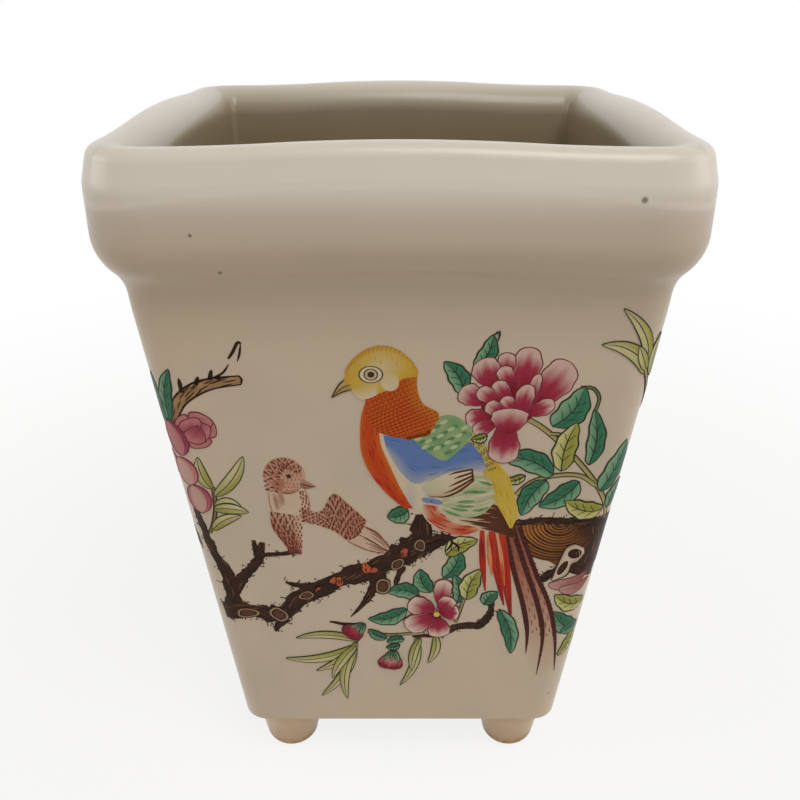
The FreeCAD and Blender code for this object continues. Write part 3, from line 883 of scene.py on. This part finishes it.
hen_beak = field([(-21.4, 92.8), (-20, 92), (-18.4, 90.7)], [(-21.7, 90.6), (-20.4, 90.1), (-18.4, 90.7)])
hen.lay(hen_beak, lambda t, s: mixed(HEN_BEAK, HEN_DARK, 0.6 * s), 6, 3)
hen.over()
hen.line([(-21.9, 91.6), (-20.2, 91), (-18.4, 90.6)], 0.3, HEN_DARK)
hen.lay(oval(-24.1, 93.5, 1.1, 1.1), LINE_DARK, 8, 2)
for x in (-25.6, -24):
    hen.line([(x, 73), (x + 0.3, 72), (x + 1.4, 71.6)], 0.5, HEN_DARK)
hen.bake()

# %% [markdown]
# ## The golden pheasant
# The cock is the picture's centre, and every part of it has its own enamel: yellow crest, orange cape with
# dark scales, a red breast, a green mantle, a blue wing, a yellow rump and a long barred tail. It is laid
# from the tail forwards, so that each row of feathers covers the roots of the one behind.

# %% Paint the pheasant's tail
TAIL_PALE = ink("a86a54")
TAIL_DARK = ink("4c2018")
TAIL_RED = ink("b01e16")
TAIL_ORANGE = ink("e0752f")
VANE_PALE = ink("d2bfa8")
VANE_STROKE = ink("8a5040")
PLUME_RED = ink("bc3820")
PLUME_BARB = ink("8c1f14")
UMBER = ink("5a3018")
CREAM = ink("d6c8ac")


def plume(work, path, first, second, barbs, barb=None):
    """A long feather along points (x, z, width), with barbs drawn along it."""
    at = ribbon(path)
    work.wash(at, lambda t, s: mixed(first, second, t + 0.3 * (s - 0.5)), 5 * len(path), 3)
    work.over()
    work.hairs(at, barbs, 0.22, barb or mixed(second, LINE_DARK, 0.4), 0.3)


def vane_tint(t, s):
    return mixed(mixed(TAIL_PALE, TAIL_DARK, 0.6 - 2 * t), VANE_PALE, 1.4 * t - 0.4)


tail = Painting("pheasant_tail", coat=14)
stripes = (
    ((23.4, 79.6), (26.1, 68), (29.4, 55.7), (31, 47), (31.2, 39.6)),
    ((25.2, 79.8), (28.9, 68), (32.9, 55.7), (34.9, 45.2), (34.4, 32)),
    ((26.8, 79.6), (31.6, 66), (35.6, 55.7), (37.9, 45.2), (38.9, 33)))
for left, right in zip(stripes, stripes[1:]):
    tail.wash(field(left, right), vane_tint, 26, 3)
    tail.over()
    upper = field(*[[along(stripe, t) for t in (0, 0.25, 0.5, 0.75)] for stripe in (left, right)])
    tail.dashes(upper, 16, 2, 0.3, VANE_STROKE, 0.9)
tail.over()
for stripe, width in zip(stripes, (1.25, 1.3, 1.15)):
    tail.line(stripe, width, TAIL_DARK, 0.9, 0.12)
    for k in range(26):
        x, z = along(stripe, 0.04 + 0.033 * k)
        reach = width * (0.75 - 0.018 * k)
        tail.line([(x - reach, z + 0.4), (x, z), (x + reach, z + 0.4)], 0.32, TAIL_DARK, 0.2, 0.2)
for path in ([(18.5, 78.4, 1), (19.1, 69, 1.5), (20.1, 60.3, 0.3)],
        [(20.7, 78.4, 1.4), (21.9, 69.6, 2.2), (24.8, 55.7, 0.3)],
        [(23, 78.4, 1.4), (24.7, 65, 2.3), (26.9, 50.5, 0.3)]):
    plume(tail, path, PLUME_RED, TAIL_RED, 8, PLUME_BARB)
for path in ([(19.6, 77.4, 0.5), (20.6, 71, 1), (21.4, 65, 0.2)],
        [(22, 77.4, 0.5), (23.4, 70, 0.9), (24.6, 62, 0.2)]):
    plume(tail, path, mixed(TAIL_ORANGE, CREAM, 0.5), TAIL_ORANGE, 3)
tail.bake()

# %% Paint the pheasant's body
YELLOW = ink("cca83c")
GOLD = ink("be8c2e")
ORANGE = ink("cc641c")
FLAME = ink("bd3810")
BLUE = ink("5f7cb4")
BLUE_DEEP = ink("40568c")
MINT = ink("a0b082")
MEADOW = ink("6a9664")
COVERT_TAN = ink("a9795a")
RUMP_PALE = ink("d0b54c")
RUMP_STROKE = ink("c99a24")

bird = Painting("pheasant", coat=24)
coverts = field([(10.4, 84), (15, 84.8), (20, 86), (25.2, 82)],
    [(12.4, 81), (17.2, 79.2), (22, 77.8), (26, 76.2)])
bird.lay(coverts, lambda t, s: mixed(CREAM, COVERT_TAN, 0.1 + 0.8 * t), 12, 6)
bird.over()
for k in range(9):
    s = 0.05 + 0.11 * k
    start = 0.12 + 0.14 * (k % 3)
    bird.line([coverts(start + (1 - start) * f, s) for f in (0, 0.33, 0.67, 1)], 0.85, UMBER, 0.1, 0.9)

belly = field([(-4.6, 106.4), (-4, 101.5), (-2, 95.6), (0, 90), (3, 84.6)],
    [(-2.6, 104), (-2.2, 101), (1, 95.4), (6, 92), (11, 85)])
thigh = field([(5, 86), (5, 83.4), (6.6, 80.6), (9.4, 78), (13.9, 76.6), (17.6, 78.2)],
    [(8.6, 85.4), (9.4, 84), (10.6, 82.6), (12.6, 81.2), (15, 80.2), (17.8, 79.2)])
rump = field([(17.2, 96.8), (18.6, 93), (19.8, 88.5), (22.2, 84.4), (24.7, 79.2)],
    [(20.8, 97.4), (23.8, 93), (25.3, 87.7), (26.3, 83.4), (25.2, 79.2)])
flank = field([(9.2, 87.4), (13, 90.8), (16.6, 93.4), (20.2, 92.6)],
    [(9.6, 84), (13.4, 82.2), (18.1, 83), (21, 86.6)])


def thigh_tint(t, s):
    pale = 0.9 * abs(2 * s - 1) ** 3 + 0.3 * math.sin(8 * t) ** 2
    return mixed(mixed(FLAME, ORANGE, 0.2 + 0.4 * t * s), CREAM, pale)


for at, tint in (
        (belly, lambda t, s: mixed(CREAM, BLUE, 1.1 * (t - 0.62) * math.sin(12 * t + 5 * s) ** 2)),
        (thigh, thigh_tint),
        (rump, lambda t, s: mixed(RUMP_PALE, GOLD, 0.05 + 0.4 * math.sin(5 * t) * (1 - s))),
        (flank, lambda t, s: mixed(CREAM, MINT, 0.2 + 0.8 * math.sin(9 * s - 2 * t) ** 2))):
    bird.wash(at, tint, 14, 8)
bird.over()
bird.hairs(thigh, 14, 0.3, TAIL_RED, 0.16, 0.1)
bird.hairs(rump, 14, 0.3, RUMP_STROKE, 0.14, 0.05)
bird.hairs(flank, 9, 0.8, MEADOW, 0.3, 0.12)
bird.hairs(flank, 7, 0.4, CREAM, 0.3, 0.1)
for x, z, wide in ((6, 87, 2.6), (8, 86.6, 3), (7, 88.4, 2)):
    bird.lay(oval(x, z, wide, 1.5, -0.3), mixed(BLUE, CREAM, 0.15), 6, 2)
print("pheasant's body:", len(bird.faces), "faces so far")

# %% Paint the pheasant's wing and breast
QUILL_TAN = ink("b58a66")
MANTLE_DARK = ink("57885c")
MANTLE_PALE = ink("b4c294")


def wing_tint(t, s):
    return mixed(BLUE, mixed(BLUE, CREAM, 0.6), 1.9 * (s - 0.6) + 0.15 * math.sin(14 * t))


blue_wing = field([(-3.5, 104), (1.8, 103.6), (5.3, 101.8), (9.6, 98.4), (14.4, 103), (18.4, 100.6)],
    [(-3, 101), (-0.4, 95.4), (3.3, 91.5), (7.6, 93.2), (13.9, 95), (19.2, 95.2)])
bird.wash(blue_wing, wing_tint, 20, 10)
bird.over()
bird.hairs(blue_wing, 12, 0.24, mixed(BLUE, BLUE_DEEP, 0.6), 0.1)
wing_edge = field([(14.6, 106), (17.2, 103), (19.6, 99), (20.8, 95.4)],
    [(14, 103.2), (16, 101), (18, 97.6), (18.8, 94.6)])
bird.wash(wing_edge, lambda t, s: mixed(MINT, YELLOW, 0.2 + 0.9 * t), 12, 4)
bird.over()
bird.scales(wing_edge, 7, 3, 0.24, mixed(UMBER, MEADOW, 0.4), 0.7)
quills = field([(4.6, 90.4), (7.8, 93), (11.6, 94.8), (15.6, 95.6)],
    [(6.6, 88), (10.4, 88), (13.4, 89.8), (16, 92.4)])
bird.wash(quills, lambda t, s: mixed(mixed(CREAM, MINT, 0.5 - t), QUILL_TAN, 0.8 * s ** 4), 12, 8)
bird.over()
for s, start in ((0.08, 0.55), (0.34, 0.6), (0.58, 0.45), (0.8, 0.3), (0.98, 0.05)):
    bird.line([quills(start + (1 - start) * k / 4, s) for k in range(5)], 0.55, UMBER, 0.1, 0.9)
for k in range(4):
    s = 0.08 + 0.24 * k
    bird.line([quills(0.96, s), quills(1, s + 0.1), quills(0.96, s + 0.22)], 0.4, UMBER, 0.7, 0.7)

mantle = field([(2.4, 103.4), (5.6, 106.6), (8.8, 108.8), (11.8, 108.6), (15.2, 105.8)],
    [(3.4, 102.4), (6.6, 99.2), (9.4, 97.6), (11.6, 99.2), (14.8, 102.8)])
bird.wash(mantle, lambda t, s: mixed(MINT, MEADOW, 0.5 + 0.4 * math.sin(11 * t) * math.sin(9 * s)), 14, 8)
for hue, count, shift in ((MANTLE_DARK, 13, 0), (MANTLE_PALE, 12, 0.31)):
    bird.over()
    for k in range(count):
        spot = mantle(0.08 + 0.84 * (k + shift) / count, 0.12 + 0.76 * ((k * 0.618 + shift) % 1))
        bird.lay(oval(spot.x, spot.y, 1.8, 0.9, 0.5), hue, 6, 2)
breast = field([(-6.8, 113), (-8, 109), (-8.4, 104), (-8.1, 99), (-6.1, 93.6), (-2.4, 88.2), (1.2, 84.8)],
    [(-5, 111), (-4.4, 106), (-4, 101.5), (-2, 95.8), (0, 90.6), (1.8, 86.8), (2.8, 84.8)])
bird.wash(breast, lambda t, s: mixed(FLAME, ORANGE, 0.8 * abs(2 * s - 0.9) ** 2 + 0.3 * (1 - t)), 22, 6)
bird.over()
bird.hairs(breast, 26, 0.26, TAIL_RED, 0.08)
for path in (((9.4, 78.2), (9.9, 75.6), (8.4, 73.2)), ((11, 77.6), (11.8, 74.8), (10.4, 72.4)),
        ((10, 75.6), (8, 75), (6.6, 73.4)), ((11.8, 75.2), (13.2, 74), (13.4, 72.4))):
    bird.line(path, 0.6, BARK, 0.9, 0.3)
print("with wing and breast:", len(bird.faces), "faces so far")

# %% Paint the pheasant's cape and head
CAPE = ink("be4c0c")
CAPE_GOLD = ink("c67622")
CAPE_DARK = ink("7a2806")
CREST_STROKE = ink("cf9f2c")
IRIS = ink("c9b08e")
BEAK_PALE = ink("d0b06c")
BEAK_DARK = ink("9c824a")


def cape_tint(t, s):
    fiery = mixed(CAPE, FLAME, 0.35 * math.sin(6 * t + 3 * s) ** 2)
    return mixed(fiery, CAPE_GOLD, 3.5 * (s - 0.74))


def crest_tint(t, s):
    pale = math.exp(-((t - 0.52) / 0.2) ** 2 - ((s - 0.42) / 0.3) ** 2)
    brim = max(0, 0.16 - t) * 4 + max(0, t - 0.8) * 3
    throat = max(0, s - 0.62) * 2.6 * (t < 0.5)
    return mixed(mixed(YELLOW, GOLD, brim), CREAM, max(0.62 * pale, throat))


cape = field([(-7, 113.6), (-7.2, 109.4), (-5.8, 106.2), (-3.2, 104.2), (2, 103.2)],
    [(3.5, 119.8), (3.6, 115), (4.9, 111.6), (8.2, 109), (6, 104.2)])
bird.wash(cape, cape_tint, 18, 12)
bird.over()
bird.scales(cape, 17, 13, 0.24, CAPE_DARK, 0.5, 0.33)
bird.over()
bird.scales(cape, 16, 12, 0.16, CAPE_GOLD, 0.4, 0.26)
for k in range(18):
    s = 0.04 + 0.92 * k / 17
    hue = mixed(CAPE, CAPE_GOLD, 0.5 * (k % 2))
    bird.line([cape(0.9, s), cape(0.98, s), cape(1.03 + 0.03 * (k % 3), s)], 0.7, hue, 0.5, 0.2)
crest = field(
    [(-11.6, 116.6), (-10.4, 120.4), (-7.6, 123.4), (-4.2, 124.8), (-0.6, 124.1), (2.4, 121.5),
        (3.7, 118.8)],
    [(-10.2, 115.2), (-8.4, 113), (-6.2, 113.2), (-4.4, 114.2), (-2, 115.4), (0.4, 117.6), (3.2, 118.2)])
bird.wash(crest, crest_tint, 24, 12)
bird.wash(oval(-2.1, 117, 3.8, 4.4, 0.2), lambda t, s: mixed(CREAM, YELLOW, 0.55 * t), 10, 4)
bird.over()
for k in range(16):
    t = 0.06 + 0.9 * k / 16
    low = 0.06 + 0.09 * (k % 3)
    stroke = [crest(t, low), crest(t + 0.008, low + 0.06), crest(t + 0.016, low + 0.13)]
    bird.line(stroke, 0.24, CREST_STROKE, 0.4, 0.2)
for k in range(44):
    t = 0.1 + 0.88 * k / 44
    hue = mixed(YELLOW, GOLD, 0.3 + 0.7 * (k % 2))
    bird.line([crest(t, 0.07), crest(t + 0.012, 0), crest(t + 0.02, -0.04)], 0.34, hue, 0.6, 0.2)
bird.over()
for wide, tall, hue in ((4.8, 3.8, CREAM), (2.7, 2.6, IRIS), (1.3, 1.3, LINE_DARK)):
    ball = oval(-5.9, 118.7, wide, tall)
    bird.lay(ball, hue, 10, 2)
    bird.over()
    bird.edge(ball, 0.28, LINE_DARK)
beak = field([(-11.3, 117.4), (-12.6, 116), (-14, 113.3)], [(-9.8, 115.2), (-11.8, 114.6), (-14, 113.3)])
bird.lay(beak, lambda t, s: mixed(BEAK_PALE, BEAK_DARK, 0.2 + 0.7 * s), 8, 3)
bird.over()
bird.edge(beak, 0.3, LINE_DARK)
bird.line([(-13.8, 113.6), (-11.8, 115.6), (-10, 116.4)], 0.24, LINE_DARK)
bird.bake()

# %% [markdown]
# ## Small sprays
# Round the branch hang prunus blossom, buds and grassy leaves. A blossom is five petals round a crimson
# eye with yellow stamens, so one function makes it at any place and size.

# %% Paint the spray under the branch
STAMEN = ink("e8c45a")


def blossom(work, x, z, size, turn):
    """Five round petals about a deep eye with stamens."""
    for k in range(5):
        a = turn + k * math.tau / 5
        petal(work, round_about(x, z, 0.1 * size, a), round_about(x, z, size, a), size * 1.16, reach=0.45)
    work.over()
    for k in range(9):
        a = turn + k * math.tau / 9
        tip = round_about(x, z, size * (0.3 + 0.1 * (k % 2)), a)
        work.line([(x, z), tip], 0.2, STAMEN, 0.6, 1)
        work.lay(oval(*tip, 0.5, 0.5), STAMEN, 4, 1)
    work.lay(oval(x, z, 1.1, 1.1), STAMEN, 6, 1)


def bud(work, x, z, size, a, deep=CRIMSON, mid=ROSE, pale=PINK):
    """A closed bud of three petals in its sepals, pointing along the angle a."""
    way = Vector((math.cos(a), math.sin(a)))
    square = Vector((-way.y, way.x))
    root = Vector((x, z)) - way * size * 0.5
    for lean in (-0.28, 0.28, 0):
        petal(work, root, root + (way + square * lean) * size, size * 0.72, 0, deep, mid, pale, 0.6)
    for lean in (-0.5, 0, 0.5):
        blade(work, root - way * size * 0.15, root + (way + square * lean * 1.4) * size * 0.5,
            size * 0.24, 0, "teal")


lower_spray = Painting("lower_spray", coat=4)
each(limb, lower_spray, (
    ([(3, 45.5, 0.8), (10, 46, 1.6), (14, 48.8, 2), (19, 49.2, 2.4), (21.6, 53, 2), (21.8, 58, 0.8)], 10, 6),
    ([(-17, 50.4, 0.6), (-12.5, 49.4, 1), (-8.6, 49.6, 0.7)], 3)))
each(twig, lower_spray, (
    ([(-8, 47), (-3, 46), (3, 46.4)], 0.7), ([(-1.4, 45), (-1.8, 42), (-2.2, 39.6)], 0.6),
    ([(13.4, 50), (14.8, 56), (15.6, 60)], 0.7), ([(9, 58), (10.6, 65), (12, 72.5)], 0.7)))
each(leaf, lower_spray, (
    ((10.4, 64.4), (13.6, 72.6), 4.6, -0.1), ((7.2, 59.8), (4.6, 67), 4.2),
    ((4.6, 58.6), (-3, 60), 4.6, -0.16), ((1.6, 54.4), (-7.6, 51.2), 4.4, 0.14),
    ((13.6, 56.4), (12.6, 65.4), 3.2, -0.1), ((20, 56), (23, 60), 3.6),
    ((23.8, 54.4), (27.4, 39.6), 3.8, 0.08), ((10.6, 71.4), (17.6, 75.8), 4.6, 0.12, "olive"),
    ((15.8, 57.6), (18.6, 67), 4.6, 0.08, "olive"), ((-3.2, 44.8), (-7.6, 47.8), 2.6),
    ((1, 44.6), (-3.2, 43.6), 2.4, -0.1), ((0, 42.6), (-3.4, 41.8), 2)))
each(blade, lower_spray, (
    ((-10, 44), (-25.4, 45), 2.4, -0.1), ((-10.6, 42.6), (-28.4, 38), 2.8, 0.12),
    ((-11, 42), (-20, 24.6), 2.6, 0.08), ((-10.6, 41.8), (-13.4, 23.4), 2.6, -0.1),
    ((-10.4, 43.6), (-21, 33.6), 2.6), ((-10.8, 42.4), (-17, 31), 2.6, -0.06),
    ((4, 45.4), (0, 28.4), 2.2), ((5, 45), (3, 33.6), 2.2, -0.06), ((8.6, 46), (7, 36.4), 2.2)))
bud(lower_spray, -11, 47.4, 5.2, 3.9, PINK, ROSE, CRIMSON)
bud(lower_spray, -2.2, 37.2, 5.6, 4.5, BLUSH, PINK, CRIMSON)
for base, tip, width, reach in (((9.6, 55.6), (10.4, 64), 4.4, 0.5), ((8.4, 54.4), (2, 56.6), 5.8, 0.5),
        ((8.2, 52.6), (1.6, 48.4), 6.2, 0.5), ((8.8, 52), (9.8, 45.6), 5.6, 0.6),
        ((9.6, 53.4), (14.2, 53.6), 4.8, 0.8), ((9.4, 54), (12.2, 58.4), 4.4, 0.6)):
    petal(lower_spray, base, tip, width, reach=reach)
lower_spray.over()
heart = (8.8, 53)
for k in range(8):
    lower_spray.line([heart, round_about(*heart, 1.5, k * math.tau / 8)], 0.22, CRIMSON, 0.8, 0.8)
lower_spray.wash(oval(*heart, 1.5, 1.5), STAMEN, 6, 2)
lower_spray.bake()

# %% Paint the spray at the left edge, and the foot of the trunk
MAUVE = ink("8a344e")
MAUVE_MID = ink("a65660")
MAUVE_PALE = ink("c07c7e")
SHELL = ink("cca69a")
TAN = ink("b08c62")
DUSKY_DEEP = ink("7f4444")
DUSKY_MID = ink("a46a62")
DUSKY_PALE = ink("c0938a")


def arm_tint(t, s):
    return mixed(TAN, BARK_MID, 0.25 + 0.6 * math.sin(23 * t + 3 * s) * (s - 0.3))


left_spray = Painting("left_spray", coat=2)
arm = ribbon([(-50, 105, 1.4), (-47.6, 108, 2), (-45.3, 112.4, 2.7), (-41.8, 115.2, 2.9),
    (-37.8, 116.6, 2.4), (-32.4, 117.3, 2)])
left_spray.lay(arm, arm_tint, 26, 5)
left_spray.over()
left_spray.edge(arm, 0.46, BARK)
left_spray.hairs(arm, 26, 0.3, BARK, 0.1, 0.14)
for foot, tip in (((-44.6, 114.4), (-44.9, 117.8)), ((-41.6, 116.2), (-40.9, 118.2)),
        ((-38.6, 117.4), (-38, 119.8)), ((-37, 117.4), (-36.6, 118.6))):
    left_spray.line([foot, tip], 0.9, BARK, 1, 0.1)
each(Painting.line, left_spray, (
    ([(-34.4, 122.2), (-33.4, 123.6), (-32.2, 125.8), (-31.5, 125.6)], 0.7, BARK, 0.6, 0.6),
    ([(-31.6, 125.6), (-32, 123.4), (-32.6, 121.6)], 0.5, BARK),
    ([(-38, 117.8), (-35.8, 119), (-34.4, 121)], 0.5, BARK, 0.8),
    ([(-32.6, 118.4), (-32.1, 117.4), (-32.4, 116.2)], 0.5, BARK)))
twig(left_spray, [(-40.9, 90.6), (-40.8, 86), (-41.6, 81.4), (-43, 77.6)], 0.8, BARK_LIGHT)
leaf(left_spray, (-48.8, 107), (-46.8, 119.8), 3.6, 0.07)
leaf(left_spray, (-50.6, 106), (-52.5, 118), 4.4, 0.08)
each(blade, left_spray, (
    ((-41.2, 90), (-43.3, 98.4), 2.8), ((-40.8, 88), (-33.6, 98.6), 3.2, -0.08),
    ((-41.2, 85.4), (-35.2, 85.2), 2.8, 0.16), ((-41.4, 84.6), (-33.7, 83.6), 2.8, 0.06),
    ((-42.2, 78.6), (-35.4, 82.6), 2.8, 0.12)))


def closed_flower(x, z, size):
    """A ball of broad petals that wrap round each other."""
    for k in range(8):
        way = Vector((math.cos(2.4 * k), math.sin(2.4 * k)))
        middle = Vector((x, z)) + way * size * (0.26 if k < 5 else 0.1)
        spread = size * chance.uniform(0.52, 0.66)
        half = way * size * 0.28
        petal(left_spray, middle - half, middle + half, spread, 0.12, MAUVE, MAUVE_MID, MAUVE_PALE, 0.55)


def cupped_flower(x, z, wide, tall, tilt, heart, rim):
    """A flower seen from its side: a broad cup with a dark rim and one petal folded inside it."""
    cup = oval(x, z, wide, tall, tilt)
    left_spray.wash(cup, lambda t, s: mixed(heart, rim, 2.2 * abs(2 * s - 1) - 1.1 + 0.4 * t), 14, 12)
    left_spray.over()
    left_spray.edge(cup, 0.34, MAUVE)
    steps = (0.06, 0.3, 0.5, 0.7, 0.92)
    left_spray.line([cup(t, 0.5 + 0.36 * math.sin(math.pi * t) ** 0.5) for t in steps], 0.36, rim)


cupped_flower(-51.5, 95, 5.4, 6.4, -0.3, SHELL, MAUVE_MID)
closed_flower(-43, 105.2, 8.3)
cupped_flower(-48, 102.6, 6, 8.6, 0.35, MAUVE_PALE, MAUVE)
cupped_flower(-46.8, 94.2, 6, 7.2, 0.35, SHELL, MAUVE_PALE)
cupped_flower(-44.6, 87.1, 6, 7.4, 0.2, SHELL, MAUVE_MID)
left_spray.bake()

foot_spray = Painting("trunk_foot_spray", coat=3)
each(leaf, foot_spray, (
    ((43, 47), (36.8, 53.6), 5.4), ((44, 49), (39, 46.8), 4), ((44.6, 56), (36.6, 59), 5, 0.16, "olive"),
    ((43, 46), (39.2, 38.4), 3.6, 0.1, "olive")))
for base, tip, width, bend in (((44, 66), (35, 61.8), 3.4, 0.12), ((45, 63.4), (37.6, 60.4), 3.2, 0.1)):
    petal(foot_spray, base, tip, width, bend, DUSKY_DEEP, DUSKY_MID, DUSKY_PALE, 0.5)
foot_spray.bake()

# %% [markdown]
# ## The other sides
# The photograph shows only the front, with the branch and the flowers running on round both corners. So a
# flowering branch is painted on each side where the front's comes round, one the mirror of the other, and
# the back gets one small spray, as such pots often do. All three use the same brush habits as the front.

# %% Paint the branches on the two sides
def side_branch(name, side, hand, root):
    """A flowering branch, root mm thick at the front corner. The hand, 1 or -1, mirrors it."""
    def put(x, z):
        return (hand * x, z)

    work = Painting(name, side)
    for path, bark, moss in (([(-45.5, 74.5, root), (-39, 74.5, 0.3 * root + 4.5), (-29, 73.5, 5),
            (-14, 67, 4.6), (2, 69.5, 4), (16, 77, 3), (25, 87, 1.8), (30, 97, 0.8)], 60, 70),
            ([(-15, 67, 3), (-8, 59.5, 2.2), (2, 54, 1.5), (11, 52.5, 0.6)], 16, 20),
            ([(1, 69.5, 2.6), (5.5, 79, 1.9), (4.5, 91, 1.3), (8, 101, 0.6)], 14, 18),
            ([(-31, 74, 2.4), (-27, 83, 1.7), (-28, 92, 1.1), (-24, 101, 0.5)], 12, 14),
            ([(17, 77.5, 1.8), (24, 76, 1.2), (31, 79.5, 0.5)], 8, 8),
            ([(-33, 74, 2.2), (-37, 84, 1.6), (-38.5, 94, 1.2), (-42, 104.5, 0.8)], 10, 14)):
        limb(work, [(hand * x, z, width) for x, z, width in path], bark, moss)
    for base, tip, width, bend, hue in (((30, 96), (34, 108), 5.2, 0.1, "teal"),
            ((28, 93), (20, 101), 5, 0.1, "teal"), ((27, 90), (36.5, 92), 4.6, -0.1, "olive"),
            ((8, 100), (13.5, 109), 5, -0.1, "teal"), ((7, 98), (-1.5, 105), 4.8, 0.1, "olive"),
            ((5, 84), (13, 88.5), 4.6, 0.1, "teal"), ((-24, 100), (-19, 110), 5, -0.1, "teal"),
            ((-27, 95), (-35.5, 102), 4.8, 0.1, "teal"), ((-28, 86), (-19, 89), 4.4, 0.1, "olive"),
            ((30, 79), (37.5, 76), 4.2, -0.1, "teal"), ((4, 53.5), (9, 45), 4.4, 0.1, "teal"),
            ((11, 52.5), (20, 55), 4.2, 0.1, "olive"), ((-8, 59.5), (-15, 53.5), 4.4, 0.1, "teal"),
            ((-21, 70), (-26, 61.5), 4.6, 0.1, "teal")):
        leaf(work, put(*base), put(*tip), width, bend * hand, hue)
    for tip, bend in (((-4, 38), 0.1), ((2, 33), -0.08), ((8, 35.5), 0.1), ((-10.5, 43), -0.1)):
        blade(work, put(-2, 55), put(*tip), 2.4, bend * hand)
    for x, z, size, turn in ((25, 86.5, 6.4, 0.2), (3.5, 92.5, 6, 0.9), (-27.5, 80, 5.6, 0.4),
            (9.5, 72, 5.6, 1.2), (0.5, 55.5, 5.4, 0.6)):
        blossom(work, hand * x, z, size, turn)
    for x, z, size, a in ((33.5, 80.5, 4.6, 0.4), (8.6, 104, 4.8, 1.4), (-23.4, 103.5, 4.6, 1.3),
            (15, 51, 4.4, -0.3)):
        bud(work, hand * x, z, size, a if hand > 0 else math.pi - a)
    work.bake()


side_branch("right_branch", 1, 1, 14)
side_branch("left_branch", 3, -1, 3.4)

# %% Paint the spray on the back
rear_spray = Painting("rear_spray", side=2)
each(limb, rear_spray, (
    ([(-25, 27, 2.6), (-17, 42, 2.4), (-7, 56, 2.1), (4, 67, 1.7), (9, 80, 1.2), (18, 91, 0.5)], 26, 36),
    ([(-7, 56, 1.7), (-9, 66, 1.3), (-16, 76, 0.9), (-17, 86, 0.4)], 10, 12),
    ([(-17, 42, 1.5), (-8, 43, 1.1), (1, 47, 0.5)], 6, 8)))
each(leaf, rear_spray, (
    ((18, 91), (27, 97.5), 4.6), ((13, 85), (21.5, 83), 4.2, -0.1, "olive"), ((9, 80), (3, 89), 4.4),
    ((-17, 85), (-12, 94), 4.2, -0.1), ((-16, 78), (-25, 82), 4.4, 0.1, "olive"), ((0, 63), (9, 59), 4.4),
    ((1, 47), (9, 44.5), 4), ((-21, 35), (-29.5, 40), 4.2), ((-11, 50), (-20, 55), 4.2, 0.1, "olive")))
each(blossom, rear_spray, ((6, 72, 6, 0.3), (-11, 67.5, 5.6, 0.8), (-6, 45, 5.2, 0.1)))
each(bud, rear_spray, ((20, 93.5, 4.4, 0.9), (-17, 88.5, 4.2, 1.6), (3, 48.5, 4, 0.5)))
rear_spray.bake()

# %% [markdown]
# ## Camera, floor and light
# The photograph looks down a little on the pot from close by. The camera stands where the corners of the
# solids fall on the corners in the photograph. The floor and the space round it are white to the camera,
# and the light is soft and comes mostly from above, so that the leaning walls are darker than the rim.

# %% Set the stage
PAPER = (0.86, 0.855, 0.84, 1)
PAPER_PALE = (0.88, 0.875, 0.865, 1)
WHITE = (1, 1, 1, 1)
ROOM_WARM = (1, 0.90, 0.78, 1)
LAMP_PALE = (1, 0.98, 0.94)
LAMP_WARM = (1, 0.96, 0.90)
LAMP_SIZE = 0.5
POT_MIDDLE = (0, 0, 0.12)

bpy.ops.object.select_all(action="DESELECT")
bpy.ops.mesh.primitive_plane_add(size=6.0)
floor = bpy.context.object
floor.name = "floor"
paper, shader, place = new_finish("white_paper")
shader.inputs["Roughness"].default_value = 0.9
feed(shader, "Base Color", place.noise(3, 2).blend(PAPER, PAPER_PALE))
floor.data.materials.append(paper)


def looked_at(tree):
    """1 for the rays that show a background: the camera's, mirrored ones and those through glass."""
    path = tree.nodes.new("ShaderNodeLightPath")
    kinds = [Wire(tree, path.outputs["Is %s Ray" % kind]) for kind in ("Camera", "Glossy", "Transmission")]
    return kinds[0] + kinds[1] + kinds[2]


tree = paper.node_tree
bare = Wire(tree, shader.outputs[0])
white = bare.node("ShaderNodeEmission", Color=WHITE, Strength=1)
far = place.node("ShaderNodeVectorMath", {"operation": "LENGTH"}, output=1, Vector=place)
share = looked_at(tree) * (0.84 + far.span(0.08, 0.45) * 0.16)
seen = bare.node("ShaderNodeMixShader", i0=share, i1=bare, i2=white)
tree.links.new(seen.socket, tree.nodes["Material Output"].inputs["Surface"])

world = bpy.data.worlds.new("pale_room")
bpy.context.scene.world = world
world.use_nodes = True
tree = world.node_tree
sky = tree.nodes["Background"]
seen = looked_at(tree)
tree.links.new((0.22 + seen * 0.78).socket, sky.inputs["Strength"])
tree.links.new(seen.blend(ROOM_WARM, WHITE).socket, sky.inputs["Color"])


def lamp(name, place, power, colour):
    """A soft square lamp at a place, turned towards the pot."""
    light = bpy.data.lights.new(name, "AREA")
    light.size = LAMP_SIZE
    light.energy = power
    light.color = colour
    holder = bpy.data.objects.new(name, light)
    bpy.context.collection.objects.link(holder)
    holder.location = place
    holder.rotation_euler = (Vector(POT_MIDDLE) - Vector(place)).to_track_quat("-Z", "Y").to_euler()


lamp("ceiling", (0.22, -0.46, 0.88), 4, LAMP_PALE)
lamp("left_side", (-0.9, -0.05, 0.40), 1.7, LAMP_WARM)
lamp("right_side", (0.9, -0.05, 0.40), 1.4, LAMP_WARM)

eye = bpy.data.cameras.new("eye")
eye.sensor_width = 36.0
eye.lens = 40.15
eye.clip_start = 0.01
viewer = bpy.data.objects.new("viewer", eye)
bpy.context.collection.objects.link(viewer)
viewer.location = (0, -0.2184, 0.1896)
viewer.rotation_euler = (math.pi / 2 - 0.433, 0, 0)
bpy.context.scene.camera = viewer
bpy.context.scene.view_settings.view_transform = "Standard"
print("camera at", tuple(viewer.location))
